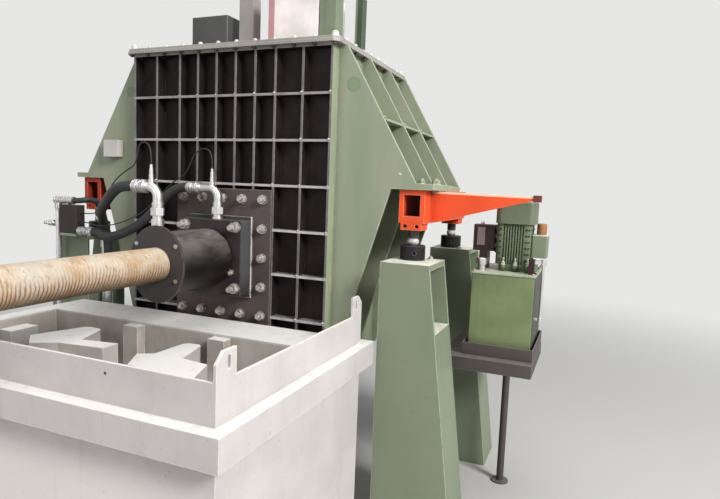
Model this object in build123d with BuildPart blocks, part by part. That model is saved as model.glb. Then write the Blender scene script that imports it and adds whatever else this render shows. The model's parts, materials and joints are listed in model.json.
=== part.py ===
from build123d import *
import os
from math import pi, radians, sqrt, tan

# Horizontal casting line for round bars: a holding furnace on four jacked pedestals, its
# water cooled mould, the bar that leaves it, the water box under the bar and the oil unit.
# Millimetres. +Z is up, +X is to the right of someone who faces the front wall, and the bar
# leaves towards -Y. The origin is on the floor, under the middle of the whole plant.

# The bar and the line that it leaves on
bar_diameter = 150.0
bar_height = 1215.0
bar_free_length = 857.0

# The furnace casing
casing_width = 1188.0
casing_bottom = 690.0
casing_top = 2250.0
rib_depth = 60.0
rib_thickness = 12.0
rib_rows = 7
column_steps = [152.0, 152.0, 116.0, 116.0, 116.0, 116.0, 116.0, 152.0, 152.0]

# The gussets that stiffen both sides
gusset_count = 4
gusset_pitch = 293.0
gusset_thickness = 15.0
gusset_top_reach = 44.0
gusset_shoulder_reach = 408.0
gusset_foot_height = 1615.0
gusset_heel_reach = 287.0
gusset_knee_reach = 120.0
gusset_knee_height = 1040.0
gusset_tail_reach = 26.0
shelf_height = 1916.0
shelf_thickness = 10.0
lifting_hole_diameter = 64.0
lifting_hole_inset = 82.0
lifting_hole_height = 2068.0
plug_recess = 2.5
ledge_thickness = 28.0
ledge_reach = 491.0
ledge_front_depth = 370.0

# The bolted lid and what stands on it
flange_overhang = 35.0
flange_front_overhang = 30.0
flange_thickness = 13.0
lid_thickness = 13.0
lid_setback = 4.0
lid_corner_cut = 24.0
charging_box_inset = 114.0
charging_box_width = 276.0
charging_box_depth = 300.0
charging_box_height = 262.0
drive_box_gap = 278.0
drive_box_depth = 210.0
drive_box_width = 226.0
drive_box_height = 176.0
post_height = 262.0
lid_things_setback = 60.0
column_gap = 134.0
column_width = 84.0
column_depth = 70.0
corner_post_gap = 6.0
corner_post_width = 86.0
corner_post_depth = 80.0
thin_post_inset = 22.0
thin_post_width = 40.0
thin_post_setback = 240.0
thin_post_depth = 50.0

# The mould flange and the cooler on the front wall
flange_width = 576.0
flange_height = 684.0
mould_flange_thickness = 12.0
adapter_width = 372.0
adapter_height = 411.0
adapter_thickness = 20.0
block_width = 360.0
block_height = 376.0
block_thickness = 78.0
cooler_diameter = 284.0
cooler_length = 371.0
cooler_rear_radius = 30.0
disc_width = 296.0
disc_height = 344.0
disc_thickness = 12.0
bar_clearance = 1.0

# Water fittings and probes
front_fitting_x = -27.0
rear_fitting_x = 17.0
fitting_edge = 28.0
pipe_diameter = 42.0
boss_diameter = 54.0
neck_diameter = 44.0
nut_across_flats = 54.0
nut_rise = 214.0
nut_height = 33.0
collar_height = 24.0
neck_height = 16.0
foot_collar_height = 32.0
elbow_radius = 48.0
elbow_rise = 340.0
front_straight = 15.0
rear_straight = 66.0
ferrule_diameter = 54.0
ferrule_length = 70.0
probe_diameter = 21.0
probe_foot_rise = 31.0
probe_length = 66.0
hose_diameter = 48.0
bypass_diameter = 32.0
wire_diameter = 6.0

# Beams, jacks and pedestals
beam_reach = 389.0
beam_width = 123.0
beam_height = 155.0
beam_side_wall = 22.0
beam_top_wall = 26.0
beam_bottom_wall = 24.0
beam_front = 75.0
beam_rear = 939.0
jack_block_width = 100.0
jack_block_length = 110.0
jack_block_drop = 33.0
jack_block_rise = 7.0
jack_hole_diameter = 18.0
jack_setback = 50.0
jack_neck_diameter = 50.0
jack_neck_length = 39.0
jack_ball_diameter = 54.0
jack_ball_height = 32.0
jack_body_diameter = 118.0
jack_body_height = 70.0
pedestal_inner = 292.0
pedestal_top_width = 229.0
pedestal_foot_width = 390.0
pedestal_front = -52.0
pedestal_depth = 273.0
pedestal_wall = 12.0
pedestal_top_plate = 26.0
window_height = 282.0

# The tapered arm
arm_front = 195.0
arm_depth = 40.0
arm_root_height = 151.0
arm_tip_height = 18.0
arm_tip_top = 1576.0
arm_length = 464.0
arm_cap_length = 34.0
arm_cap_height = 30.0

# The oil unit beside the furnace
shelf_right = 1550.0
shelf_top = 797.0
shelf_rail = 62.0
shelf_depth = 500.0
tray_wall = 4.0
tray_height = 60.0
tray_margin = 16.0
tray_front_margin = 44.0
tank_left = 1229.0
tank_width = 301.0
tank_front = 320.0
tank_depth = 400.0
tank_height = 394.0
tank_lid_thickness = 8.0
motor_x = 1402.0
motor_y = 520.0
motor_width = 168.0
motor_corner = 24.0
fin_depth = 9.0
fin_gap = 7.0
fin_pitch = 13.0
fin_count = 8
motor_flange_width = 178.0
motor_flange_shift = 24.0
motor_flange_height = 32.0
motor_height = 204.0
cowl_width = 190.0
cowl_height = 112.0
terminal_width = 76.0
terminal_depth = 104.0
terminal_rise = 40.0
terminal_height = 113.0
terminal_cap_diameter = 48.0
terminal_cap_height = 56.0
filler_diameter = 60.0
valve_width = 105.0
valve_depth = 80.0
valve_inset = 30.0
leg_diameter = 38.0

# The water box under the bar
box_left = -850.0
box_right = 834.0
box_front = -1188.0
box_rear = -125.0
rim_left = -896.0
rim_right = 880.0
rim_front = -1237.0
rim_rear = -75.0
rim_top = 895.0
rim_height = 105.0
splash_height = 132.0
splash_thickness = 10.0
well_left = -811.0
well_rear = -329.0
well_floor = 420.0
lug_width = 98.0
lug_height = 85.0
lug_cut = 34.0
lug_slot_width = 16.0
lug_slot_length = 44.0

# The water manifold on the left and the pipes to the floor
manifold_inset = 2.0
manifold_width = 129.0
manifold_height = 160.0
manifold_front = -132.0
manifold_depth = 62.0
manifold_seat_thickness = 12.0
manifold_seat_reach = 90.0
port_inset = 28.0
port_rise = 28.0
port_length = 100.0
port_diameter = 54.0
coupling_diameter = 42.0
coupling_inset = 85.0
coupling_reach = 57.0
standpipe_diameter = 32.0
valve_length = 96.0
return_diameter = 44.0
post_width = 88.0
post_depth = 50.0
post_drop = 14.0
post_inset = 546.0
post_pitch = 496.0
bracket_top = 850.0
bracket_gap = 62.0
left_bracket_inset = 216.0
left_bracket_plan = [(-8.0, -250.0), (76.0, 0.0), (176.0, -8.0), (246.0, -190.0), (430.0, -158.0),
                     (430.0, -244.0), (200.0, -276.0), (100.0, -340.0)]
right_bracket_inset = 845.0
right_bracket_plan = [(-16.0, -236.0), (46.0, -196.0), (48.0, 0.0), (132.0, 10.0), (190.0, -196.0),
                      (330.0, -214.0), (392.0, -382.0), (60.0, -368.0)]
bracket_rounding = 32.0
end_block_width = 80.0
end_block_depth = 140.0
end_block_setback = 109.0
return_gap = 86.0
return_y = 14.0
return_top = 1120.0
bypass_gap = 36.0
bypass_y = 30.0
bypass_top = 1230.0

# The small pale box on the left gusset
junction_inset = 137.0
junction_width = 102.0
junction_depth = 45.0
junction_bottom = 1707.0
junction_height = 94.0

# How far the plant reaches from the bar line and from the front face of the ribs
casing_half = casing_width / 2
casing_depth = (gusset_count - 1) * gusset_pitch + gusset_thickness
casing_rear = rib_depth + casing_depth
lid_rear = casing_rear + flange_overhang
mould_depth = mould_flange_thickness + adapter_thickness + block_thickness
disc_face = -mould_depth - cooler_length - disc_thickness
bar_end = disc_face - bar_free_length
beam_x = casing_half + beam_reach
pedestal_inner_x = casing_half + pedestal_inner
beam_top = gusset_foot_height - ledge_thickness
beam_bottom = beam_top - beam_height
jack_block_bottom = beam_bottom - jack_block_drop
neck_bottom = jack_block_bottom - jack_neck_length
body_top = neck_bottom - jack_ball_height
pedestal_height = body_top - jack_body_height
elbow_height = bar_height + elbow_rise
nut_bottom = bar_height + nut_rise
probe_foot_height = elbow_height + probe_foot_rise
port_height = pedestal_height + port_rise
middle_y = rib_depth + casing_depth / 2
pedestal_rear = 2 * middle_y - pedestal_front
arm_root_x = beam_x + beam_width / 2
reach_right = max(arm_root_x + arm_length + arm_cap_length, shelf_right)
reach_left = pedestal_inner_x + pedestal_foot_width
line_x = (reach_left - reach_right) / 2
line_y = -(bar_end + pedestal_rear) / 2


def front(y=0.0):
    """A sketch plane that faces the viewer: x runs right, y runs up."""
    return Plane(origin=(line_x, line_y + y, 0), x_dir=(1, 0, 0), z_dir=(0, -1, 0))


def side(x=0.0):
    """A sketch plane that faces right: x runs away from the viewer, y runs up."""
    return Plane(origin=(line_x + x, line_y, 0), x_dir=(0, 1, 0), z_dir=(1, 0, 0))


def level(z=0.0):
    """A sketch plane that faces up."""
    return Plane(origin=(line_x, line_y, z), x_dir=(1, 0, 0), z_dir=(0, 0, 1))


def place(x, y, z):
    return (line_x + x, line_y + y, z)


nodes = []


def keep(part, label):
    part.label = label
    nodes.append(part)


def block(x0, x1, y0, y1, z0, z1, mode=Mode.ADD):
    """A square block between two corners, inside the part being built."""
    with BuildSketch(level(z0)) as base:
        with Locations(((x0 + x1) / 2, (y0 + y1) / 2)):
            Rectangle(x1 - x0, y1 - y0)
    extrude(base.sketch, amount=z1 - z0, mode=mode)


def disc(x, y, z, diameter, height, mode=Mode.ADD):
    """An upright cylinder inside the part being built."""
    with BuildSketch(level(z)) as base:
        with Locations((x, y)):
            Circle(diameter / 2)
    extrude(base.sketch, amount=height, mode=mode)


# Casing, with the ribbed walls at its front and rear
with BuildPart() as casing:
    block(-casing_half, casing_half, rib_depth, casing_rear, casing_bottom, casing_top)
keep(casing.part, "furnace_casing")

column_scale = (casing_width - rib_thickness) / sum(column_steps)
column_places = [(rib_thickness - casing_width) / 2]
for step in column_steps:
    column_places.append(column_places[-1] + step * column_scale)
row_pitch = (casing_top - casing_bottom - rib_thickness) / rib_rows
row_places = [casing_bottom + rib_thickness / 2 + row * row_pitch for row in range(rib_rows + 1)]
with BuildPart() as ribs:
    for face in (0, casing_rear):
        with BuildSketch(front(face)):
            with Locations([(x, (casing_top + casing_bottom) / 2) for x in column_places]):
                Rectangle(rib_thickness, casing_top - casing_bottom)
            with Locations([(0, z) for z in row_places]):
                Rectangle(casing_width, rib_thickness)
        extrude(amount=-rib_depth)
keep(ribs.part, "wall_ribs")

# Gussets on both sides, their shelves and the ledge that the beams carry
ledge_bottom = gusset_foot_height - ledge_thickness
short_reach = gusset_shoulder_reach + 4
gusset_fronts = [rib_depth + number * gusset_pitch for number in range(gusset_count)]
foot_reaches = [ledge_reach, ledge_reach, short_reach, short_reach]


def gusset_points(sign, foot):
    """Points of one gusset, from its top corner down to its tail."""
    reaches = [
        (0, casing_top),
        (gusset_top_reach, casing_top),
        (gusset_shoulder_reach, gusset_foot_height),
        (foot, gusset_foot_height),
        (foot, ledge_bottom),
        (gusset_heel_reach, ledge_bottom),
        (gusset_knee_reach, gusset_knee_height),
        (gusset_tail_reach, casing_bottom),
        (0, casing_bottom),
    ]
    return [(sign * (casing_half + reach), z) for reach, z in reaches]


with BuildPart() as gussets:
    for sign in (1, -1):
        for y, foot in zip(gusset_fronts, foot_reaches):
            with BuildSketch(front(y)):
                with BuildLine():
                    Polyline(*gusset_points(sign, foot), close=True)
                make_face()
            extrude(amount=-gusset_thickness)
        for y, hole_depth in ((gusset_fronts[0], plug_recess), (gusset_fronts[-1], gusset_thickness)):
            with BuildSketch(front(y)) as hole:
                with Locations((sign * (casing_half + lifting_hole_inset), lifting_hole_height)):
                    Circle(lifting_hole_diameter / 2)
            extrude(hole.sketch, amount=-hole_depth, mode=Mode.SUBTRACT)
keep(gussets.part, "side_gussets")

slope = (gusset_shoulder_reach - gusset_top_reach) / (casing_top - gusset_foot_height)
shelf_reach = gusset_top_reach + slope * (casing_top - shelf_height) - 2
with BuildPart() as shelves:
    for sign in (1, -1):
        for start, end in zip(gusset_fronts, gusset_fronts[1:]):
            near, far = sorted((sign * casing_half, sign * (casing_half + shelf_reach)))
            block(near, far, start + gusset_thickness, end, shelf_height - shelf_thickness, shelf_height)
keep(shelves.part, "gusset_shelves")

ledge_step = rib_depth + ledge_front_depth
with BuildPart() as ledges:
    for sign in (1, -1):
        for start, end in zip(gusset_fronts, gusset_fronts[1:]):
            bay_front = start + gusset_thickness
            wide_end = min(end, ledge_step)
            near, far = sorted((sign * casing_half, sign * (casing_half + ledge_reach)))
            if wide_end > bay_front:
                block(near, far, bay_front, wide_end, ledge_bottom, gusset_foot_height)
            near, far = sorted((sign * casing_half, sign * (casing_half + short_reach)))
            if end > wide_end:
                block(near, far, max(bay_front, wide_end), end, ledge_bottom, gusset_foot_height)
keep(ledges.part, "ledge_plates")

# Top flange, lid and what stands on the lid
lid_half = casing_half + flange_overhang
lid_front = -flange_front_overhang
flange_top = casing_top + flange_thickness
lid_top = flange_top + lid_thickness
with BuildPart() as top_flange:
    block(-lid_half, lid_half, lid_front, lid_rear, casing_top, flange_top)
    chamfer(top_flange.edges().filter_by(Axis.Z), lid_corner_cut)
keep(top_flange.part, "top_flange")
with BuildPart() as lid:
    block(lid_setback - lid_half, lid_half - lid_setback, lid_front + lid_setback,
          lid_rear - lid_setback, flange_top, lid_top)
    chamfer(lid.edges().filter_by(Axis.Z), lid_corner_cut)
keep(lid.part, "furnace_lid")
charging_box_right = casing_half - charging_box_inset
charging_box_left = charging_box_right - charging_box_width
drive_box_left = charging_box_left - drive_box_gap - drive_box_width
things_front = lid_things_setback
with BuildPart() as charging_box:
    block(charging_box_left, charging_box_right, things_front, things_front + charging_box_depth,
          lid_top, lid_top + charging_box_height)
keep(charging_box.part, "charging_box")
with BuildPart() as drive_box:
    block(drive_box_left, drive_box_left + drive_box_width, things_front + 50,
          things_front + 50 + drive_box_depth, lid_top, lid_top + drive_box_height)
    fillet(drive_box.edges().filter_by(Axis.Z), 8)
keep(drive_box.part, "lid_drive_box")
with BuildPart() as posts:
    column_right = charging_box_left - column_gap
    corner_left = charging_box_right + corner_post_gap
    thin_right = lid_half - thin_post_inset
    thin_front = things_front + thin_post_setback
    block(column_right - column_width, column_right, things_front + column_depth,
          things_front + 2 * column_depth, lid_top, lid_top + post_height)
    block(corner_left, corner_left + corner_post_width, things_front,
          things_front + corner_post_depth, lid_top, lid_top + post_height)
    block(thin_right - thin_post_width, thin_right, thin_front, thin_front + thin_post_depth,
          lid_top, lid_top + post_height)
keep(posts.part, "lid_posts")

# Mould flange, adapter and block on the front wall
adapter_face = -mould_flange_thickness - adapter_thickness
block_face = adapter_face - block_thickness


def wall_plate(label, face, width, height, thickness, corner, bevel):
    """A plate that lies against what is behind it, centred on the bar."""
    with BuildPart() as plate:
        with BuildSketch(front(face)):
            with Locations((0, bar_height)):
                RectangleRounded(width, height, corner)
        extrude(amount=-thickness)
        chamfer(plate.faces().sort_by(Axis.Y)[0].edges(), bevel)
    keep(plate.part, label)


wall_plate("mould_flange", -mould_flange_thickness, flange_width, flange_height,
           mould_flange_thickness, 8, 2)
wall_plate("mould_adapter", adapter_face, adapter_width, adapter_height, adapter_thickness, 5, 2)
wall_plate("mould_block", block_face, block_width, block_height, block_thickness, 8, 4)

# Cooler, front disc and bar
bore_radius = bar_diameter / 2 + bar_clearance
cooler_radius = cooler_diameter / 2
cooler_face = block_face - cooler_length
bar_axis = Axis(place(0, 0, bar_height), (0, 1, 0))
with BuildPart() as cooler:
    with BuildSketch(side()):
        with BuildLine():
            Polyline((block_face, bar_height + bore_radius), (cooler_face, bar_height + bore_radius),
                     (cooler_face, bar_height + cooler_radius),
                     (block_face, bar_height + cooler_radius), close=True)
        make_face()
        fillet(vertices().sort_by(Axis.Y)[-1], cooler_rear_radius)
    revolve(axis=bar_axis)
keep(cooler.part, "mould_cooler")

with BuildPart() as front_disc:
    with BuildSketch(front(disc_face)):
        with Locations((0, bar_height)):
            Ellipse(disc_width / 2, disc_height / 2)
            Circle(bore_radius, mode=Mode.SUBTRACT)
    extrude(amount=-disc_thickness)
keep(front_disc.part, "cooler_disc")

with BuildPart() as bar:
    with BuildSketch(front(block_face)):
        with Locations((0, bar_height)):
            Circle(bar_diameter / 2)
    extrude(amount=block_face - bar_end)
keep(bar.part, "cast_bar")

# Water fittings: boss, union nut and elbow, then the ferrule and the probe
front_fitting_y = cooler_face + fitting_edge
rear_fitting_y = block_face + fitting_edge + 6
elbow_foot = elbow_height - elbow_radius
fittings = [
    (front_fitting_x, front_fitting_y, bar_height, front_straight),
    (rear_fitting_x, rear_fitting_y, bar_height + block_height / 2, rear_straight),
]
with BuildPart() as elbows:
    for x, y, foot, straight in fittings:
        disc(x, y, foot, neck_diameter, nut_bottom - foot)
        collar = max(foot, nut_bottom - neck_height - foot_collar_height)
        disc(x, y, collar, boss_diameter, nut_bottom - neck_height - collar)
        with BuildSketch(level(nut_bottom)):
            with Locations((x, y)):
                RegularPolygon(nut_across_flats / 2, 6, major_radius=False)
        extrude(amount=nut_height)
        disc(x, y, nut_bottom + nut_height, boss_diameter - 4, collar_height)
        end_x = x - elbow_radius - straight
        with BuildLine():
            rise = Line(place(x, y, nut_bottom + nut_height - 5), place(x, y, elbow_foot))
            middle = (x - elbow_radius * (1 - sqrt(0.5)), y, elbow_foot + elbow_radius * sqrt(0.5))
            turn = ThreePointArc(rise @ 1, place(*middle), place(x - elbow_radius, y, elbow_height))
            Line(turn @ 1, place(end_x, y, elbow_height))
        with BuildSketch(Plane(origin=rise @ 0, z_dir=(0, 0, 1))):
            Circle(pipe_diameter / 2)
        sweep()
        with BuildSketch(side(end_x)):
            with Locations((y, elbow_height)):
                Circle(boss_diameter / 2 - 1)
        extrude(amount=min(straight, 10))
        disc(x - 0.75 * elbow_radius, y, elbow_height, probe_diameter + 5,
             probe_foot_height - elbow_height)
    with BuildSketch(front(block_face)):
        with Locations((0, bar_height)):
            Circle(cooler_radius)
    extrude(amount=cooler_length, mode=Mode.SUBTRACT)
keep(elbows.part, "water_elbows")

with BuildPart() as ferrules:
    for x, y, foot, straight in fittings:
        end_x = x - elbow_radius - straight
        with BuildSketch(side(end_x)):
            with Locations((y, elbow_height)):
                Circle(ferrule_diameter / 2)
        extrude(amount=-ferrule_length)
        for part_way in (0.0, 0.55):
            with BuildSketch(side(end_x - ferrule_length * part_way)):
                with Locations((y, elbow_height)):
                    Circle(ferrule_diameter / 2 + 4)
            extrude(amount=-16)
keep(ferrules.part, "hose_ferrules")

with BuildPart() as probes:
    for x, y, foot, straight in fittings:
        probe_x = x - 0.75 * elbow_radius
        disc(probe_x, y, probe_foot_height, probe_diameter, 22)
        disc(probe_x, y, probe_foot_height + 22, probe_diameter - 3, probe_length - 38)
        disc(probe_x, y, probe_foot_height + probe_length - 16, probe_diameter - 8, 16)
keep(probes.part, "water_probes")

# Hollow jacking beams with their socket blocks
jack_y = beam_front + jack_setback
rear_jack_y = 2 * middle_y - jack_y
with BuildPart() as beams:
    for sign in (1, -1):
        with BuildSketch(front(beam_front)):
            with Locations((sign * beam_x, beam_top - beam_height / 2)):
                Rectangle(beam_width, beam_height)
            inside = beam_height - beam_top_wall - beam_bottom_wall
            with Locations((sign * beam_x, beam_bottom + beam_bottom_wall + inside / 2)):
                Rectangle(beam_width - 2 * beam_side_wall, inside, mode=Mode.SUBTRACT)
        extrude(amount=beam_front - beam_rear)
        for y in (jack_y, rear_jack_y):
            half = jack_block_width / 2
            block(sign * beam_x - half, sign * beam_x + half, y - jack_block_length / 2 + 5,
                  y + jack_block_length / 2 - 5, jack_block_bottom, beam_bottom)
            clear = beam_width / 2 - beam_side_wall
            block(sign * beam_x - clear, sign * beam_x + clear, y - jack_block_length / 2 + 5,
                  y + jack_block_length / 2 - 5, beam_bottom,
                  beam_bottom + beam_bottom_wall + jack_block_rise)
        with BuildSketch(front(beam_front)):
            with Locations((sign * beam_x - 28, jack_block_bottom + 18)):
                Circle(jack_hole_diameter / 2)
            with Locations((sign * beam_x + 28, jack_block_bottom + 18)):
                Circle(jack_hole_diameter / 2)
        extrude(amount=-30, mode=Mode.SUBTRACT)
keep(beams.part, "jacking_beams")

# Jacks: a screw with a ball end in a round body
ball_radius = jack_ball_diameter / 2
jack_places = [(sign * beam_x, y) for sign in (1, -1) for y in (jack_y, rear_jack_y)]
with BuildPart() as screws:
    for x, y in jack_places:
        with BuildSketch(front(y)):
            with BuildLine():
                rim = Line((x + 0.7 * ball_radius, body_top), (x, body_top))
                spine = Line((x, body_top), (x, jack_block_bottom))
                top = Line((x, jack_block_bottom), (x + jack_neck_diameter / 2, jack_block_bottom))
                Line(top @ 1, (x + jack_neck_diameter / 2, neck_bottom))
                under = Line((x + jack_neck_diameter / 2, neck_bottom),
                             (x + 0.7 * ball_radius, neck_bottom))
                ThreePointArc(under @ 1, (x + ball_radius, (neck_bottom + body_top) / 2), rim @ 0)
            make_face()
        revolve(axis=Axis(place(x, y, 0), (0, 0, 1)))
keep(screws.part, "jack_screws")

with BuildPart() as bodies:
    for x, y in jack_places:
        disc(x, y, pedestal_height, jack_body_diameter, jack_body_height)
        with BuildSketch(front(y - jack_body_diameter / 2)):
            with Locations((x + 24, pedestal_height + jack_body_height / 2)):
                Circle(8)
        extrude(amount=-24, mode=Mode.SUBTRACT)
    chamfer(bodies.faces().filter_by(Axis.Z).sort_by(Axis.Z)[-4:].edges(), 3)
keep(bodies.part, "jack_bodies")

# Pedestals: tapered boxes, closed below and open between two plates under the thick top
foot_x = pedestal_inner_x + pedestal_foot_width
head_x = pedestal_inner_x + pedestal_top_width
plate_bottom = pedestal_height - pedestal_top_plate
window_bottom = plate_bottom - window_height
pedestal_fronts = (pedestal_front, pedestal_rear - pedestal_depth)
with BuildPart() as pedestals:
    for sign in (1, -1):
        for y in pedestal_fronts:
            with BuildSketch(front(y)):
                with BuildLine():
                    Polyline((sign * pedestal_inner_x, 0), (sign * foot_x, 0),
                             (sign * head_x, pedestal_height),
                             (sign * pedestal_inner_x, pedestal_height), close=True)
                make_face()
            extrude(amount=-pedestal_depth)
            with BuildSketch(side(sign * pedestal_inner_x - 10 * sign)):
                with Locations((y + pedestal_depth / 2, window_bottom + window_height / 2)):
                    Rectangle(pedestal_depth - 2 * pedestal_wall, window_height)
            extrude(amount=sign * (pedestal_foot_width + 20), mode=Mode.SUBTRACT)
keep(pedestals.part, "pedestals")

# Arm that tapers away from the right beam
arm_tip_x = arm_root_x + arm_length
with BuildPart() as arm:
    with BuildSketch(front(arm_front)):
        with BuildLine():
            Polyline((arm_root_x, beam_bottom), (arm_root_x, beam_bottom + arm_root_height),
                     (arm_tip_x, arm_tip_top), (arm_tip_x, arm_tip_top - arm_tip_height), close=True)
        make_face()
    extrude(amount=-arm_depth)
keep(arm.part, "support_arm")
with BuildPart() as arm_cap:
    block(arm_tip_x, arm_tip_x + arm_cap_length, arm_front - 5, arm_front + arm_depth + 5,
          arm_tip_top - arm_tip_height / 2 - arm_cap_height / 2,
          arm_tip_top - arm_tip_height / 2 + arm_cap_height / 2)
keep(arm_cap.part, "arm_end_cap")

# Shelf, tray, tank and motor of the oil unit
shelf_left = pedestal_inner_x + pedestal_foot_width
shelf_left -= (pedestal_foot_width - pedestal_top_width) * shelf_top / pedestal_height
shelf_front = pedestal_front + pedestal_depth
shelf_rear = shelf_front + shelf_depth
shelf_start = shelf_left - 60
with BuildPart() as shelf:
    block(shelf_start, shelf_right, shelf_front, shelf_rear, shelf_top - shelf_rail, shelf_top)
    block(shelf_start + 12, shelf_right - 12, shelf_front + 12, shelf_rear - 12,
          shelf_top - shelf_rail, shelf_top - 8, mode=Mode.SUBTRACT)
keep(shelf.part, "oil_shelf")
leg_x = motor_x - 16
leg_y = shelf_rear - 60
with BuildPart() as leg:
    disc(leg_x, leg_y, 0, leg_diameter * 2.4, 8)
    disc(leg_x, leg_y, 8, leg_diameter, shelf_top - 16)
keep(leg.part, "shelf_leg")

tank_right = tank_left + tank_width
tank_rear = tank_front + tank_depth
tank_bottom = shelf_top + tray_wall
tank_top = tank_bottom + tank_height
with BuildPart() as tray:
    for inset, foot, mode in ((0, shelf_top, Mode.ADD), (tray_wall, tank_bottom, Mode.SUBTRACT)):
        block(tank_left - tray_margin + inset, tank_right + tray_margin - inset,
              tank_front - tray_front_margin + inset, tank_rear + tray_margin - inset,
              foot, shelf_top + tray_height, mode=mode)
keep(tray.part, "drip_tray")
with BuildPart() as tank:
    block(tank_left, tank_right, tank_front, tank_rear, tank_bottom, tank_top)
    fillet(tank.edges().filter_by(Axis.Z), 6)
keep(tank.part, "oil_tank")
with BuildPart() as tank_lid:
    block(tank_left - 2, tank_right + 2, tank_front - 4, tank_rear + 4, tank_top,
          tank_top + tank_lid_thickness)
    fillet(tank_lid.edges().filter_by(Axis.Z), 8)
keep(tank_lid.part, "tank_lid")

lid_face = tank_top + tank_lid_thickness
with BuildPart() as motor:
    flange_x = motor_x + motor_flange_shift
    half = motor_flange_width / 2
    block(flange_x - half, flange_x + half, motor_y - half, motor_y + half, lid_face,
          lid_face + motor_flange_height)
    with BuildSketch(level(lid_face + motor_flange_height)):
        with Locations((motor_x, motor_y)):
            RectangleRounded(motor_width, motor_width, motor_corner)
            for turn in (0, 90, 180, 270):
                with PolarLocations(motor_width / 2 - fin_depth / 2 + 1, 1, start_angle=turn):
                    with GridLocations(0, fin_pitch, 1, fin_count):
                        Rectangle(fin_depth + 2, fin_gap, mode=Mode.SUBTRACT)
    extrude(amount=motor_height)
keep(motor.part, "oil_motor")
cowl_bottom = lid_face + motor_flange_height + motor_height
with BuildPart() as cowl:
    with BuildSketch(level(cowl_bottom)):
        with Locations((motor_x + 4, motor_y)):
            RectangleRounded(cowl_width, cowl_width, motor_corner + 8)
    extrude(amount=cowl_height)
    fillet(cowl.faces().sort_by(Axis.Z)[-1].edges(), 14)
keep(cowl.part, "motor_cowl")
box_x = motor_x + motor_width / 2
terminal_bottom = lid_face + motor_flange_height + terminal_rise
terminal_top = terminal_bottom + terminal_height
with BuildPart() as terminal_box:
    block(box_x, box_x + terminal_width, motor_y - terminal_depth / 2, motor_y + terminal_depth / 2,
          terminal_bottom, terminal_top)
    fillet(terminal_box.edges().filter_by(Axis.Z), 8)
    chamfer(terminal_box.faces().sort_by(Axis.Z)[-1].edges(), 3)
keep(terminal_box.part, "terminal_box")
with BuildPart() as terminal_cap:
    disc(box_x + terminal_width / 2 + 4, motor_y, terminal_top, terminal_cap_diameter,
         terminal_cap_height)
    fillet(terminal_cap.faces().sort_by(Axis.Z)[-1].edges(), 8)
keep(terminal_cap.part, "terminal_cap")
filler_x = tank_left + filler_diameter / 2 + 4
filler_y = tank_front + 80
with BuildPart() as filler:
    disc(filler_x, filler_y, lid_face, filler_diameter - 18, 29)
    disc(filler_x, filler_y, lid_face + 29, filler_diameter, 33)
    chamfer(filler.faces().sort_by(Axis.Z)[-1].edges(), 4)
keep(filler.part, "filler_cap")
gauge_x = tank_right + 28
gauge_y = tank_front + 60
gauge_bottom = tank_bottom + 184
gauge_top = lid_face + 74
valve_left = tank_left - valve_inset
valve_front = tank_front + 150
valve_foot_height = 90
valve_top = lid_face + 222
with BuildPart() as valve:
    block(tank_left + 4, tank_left + 46, valve_front, valve_front + valve_depth, lid_face,
          lid_face + valve_foot_height)
    block(valve_left, valve_left + valve_width, valve_front, valve_front + valve_depth,
          lid_face + valve_foot_height, valve_top)
    for rise in (56, 104, 152):
        with BuildSketch(side(valve_left + valve_width)):
            with Locations((valve_front + valve_depth / 2, valve_top - rise + 24)):
                Circle(13)
        extrude(amount=14)
    block(tank_right - 40, tank_right - 12, gauge_y - 18, gauge_y + 18, lid_face, gauge_top)
keep(valve.part, "valve_block")
with BuildPart() as valve_fittings:
    plate_left = valve_left + 20
    block(plate_left, plate_left + 38, valve_front - 6, valve_front, valve_top - 104, valve_top - 14)
    disc(plate_left + 20, valve_front + 24, valve_top, 18, 14)
    fillet(valve_fittings.faces().sort_by(Axis.Z)[-1].edges(), 6)
keep(valve_fittings.part, "valve_fittings")
with BuildPart() as level_pipe:
    disc(gauge_x, gauge_y, gauge_bottom, 14, gauge_top - gauge_bottom)
    disc(gauge_x, gauge_y, gauge_bottom - 6, 24, 18)
    disc(gauge_x, gauge_y, gauge_top - 26, 26, 26)
    block(tank_right, gauge_x, gauge_y - 7, gauge_y + 7, gauge_bottom - 2, gauge_bottom + 10)
    block(tank_right - 12, gauge_x, gauge_y - 9, gauge_y + 9, gauge_top - 22, gauge_top - 4)
keep(level_pipe.part, "oil_level_pipe")

# Water box: walls, thick rim, splash plates on two sides and lifting lugs
splash_top = rim_top + splash_height
well_front = box_front + splash_thickness
well_right = box_right - splash_thickness
with BuildPart() as water_box:
    block(box_left, box_right, box_front, box_rear, 0, rim_top)
    block(rim_left, rim_right, rim_front, rim_rear, rim_top - rim_height, rim_top)
    block(box_left, box_right, box_front, well_front, rim_top, splash_top)
    block(well_right, box_right, box_front, box_rear, rim_top, splash_top)
    block(well_left, well_right, well_front, well_rear, well_floor, rim_top, mode=Mode.SUBTRACT)
    post_front = well_rear - post_depth
    for post_left in (box_left + post_inset, box_left + post_inset + post_pitch):
        block(post_left, post_left + post_width, post_front, well_rear, well_floor, rim_top - post_drop)
    for end, inward in ((box_front, 1), (box_rear, -1)):
        with BuildSketch(side(box_right)):
            with BuildLine():
                Polyline((end, splash_top - 20), (end, splash_top + lug_height - lug_cut),
                         (end + inward * lug_cut, splash_top + lug_height),
                         (end + inward * lug_width, splash_top + lug_height),
                         (end + inward * lug_width, splash_top - 20), close=True)
            make_face()
            with Locations((end + inward * lug_width * 0.62, splash_top + lug_height / 2 + 4)):
                SlotOverall(lug_slot_length, lug_slot_width, rotation=90, mode=Mode.SUBTRACT)
        extrude(amount=-splash_thickness)
keep(water_box.part, "water_box")


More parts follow.
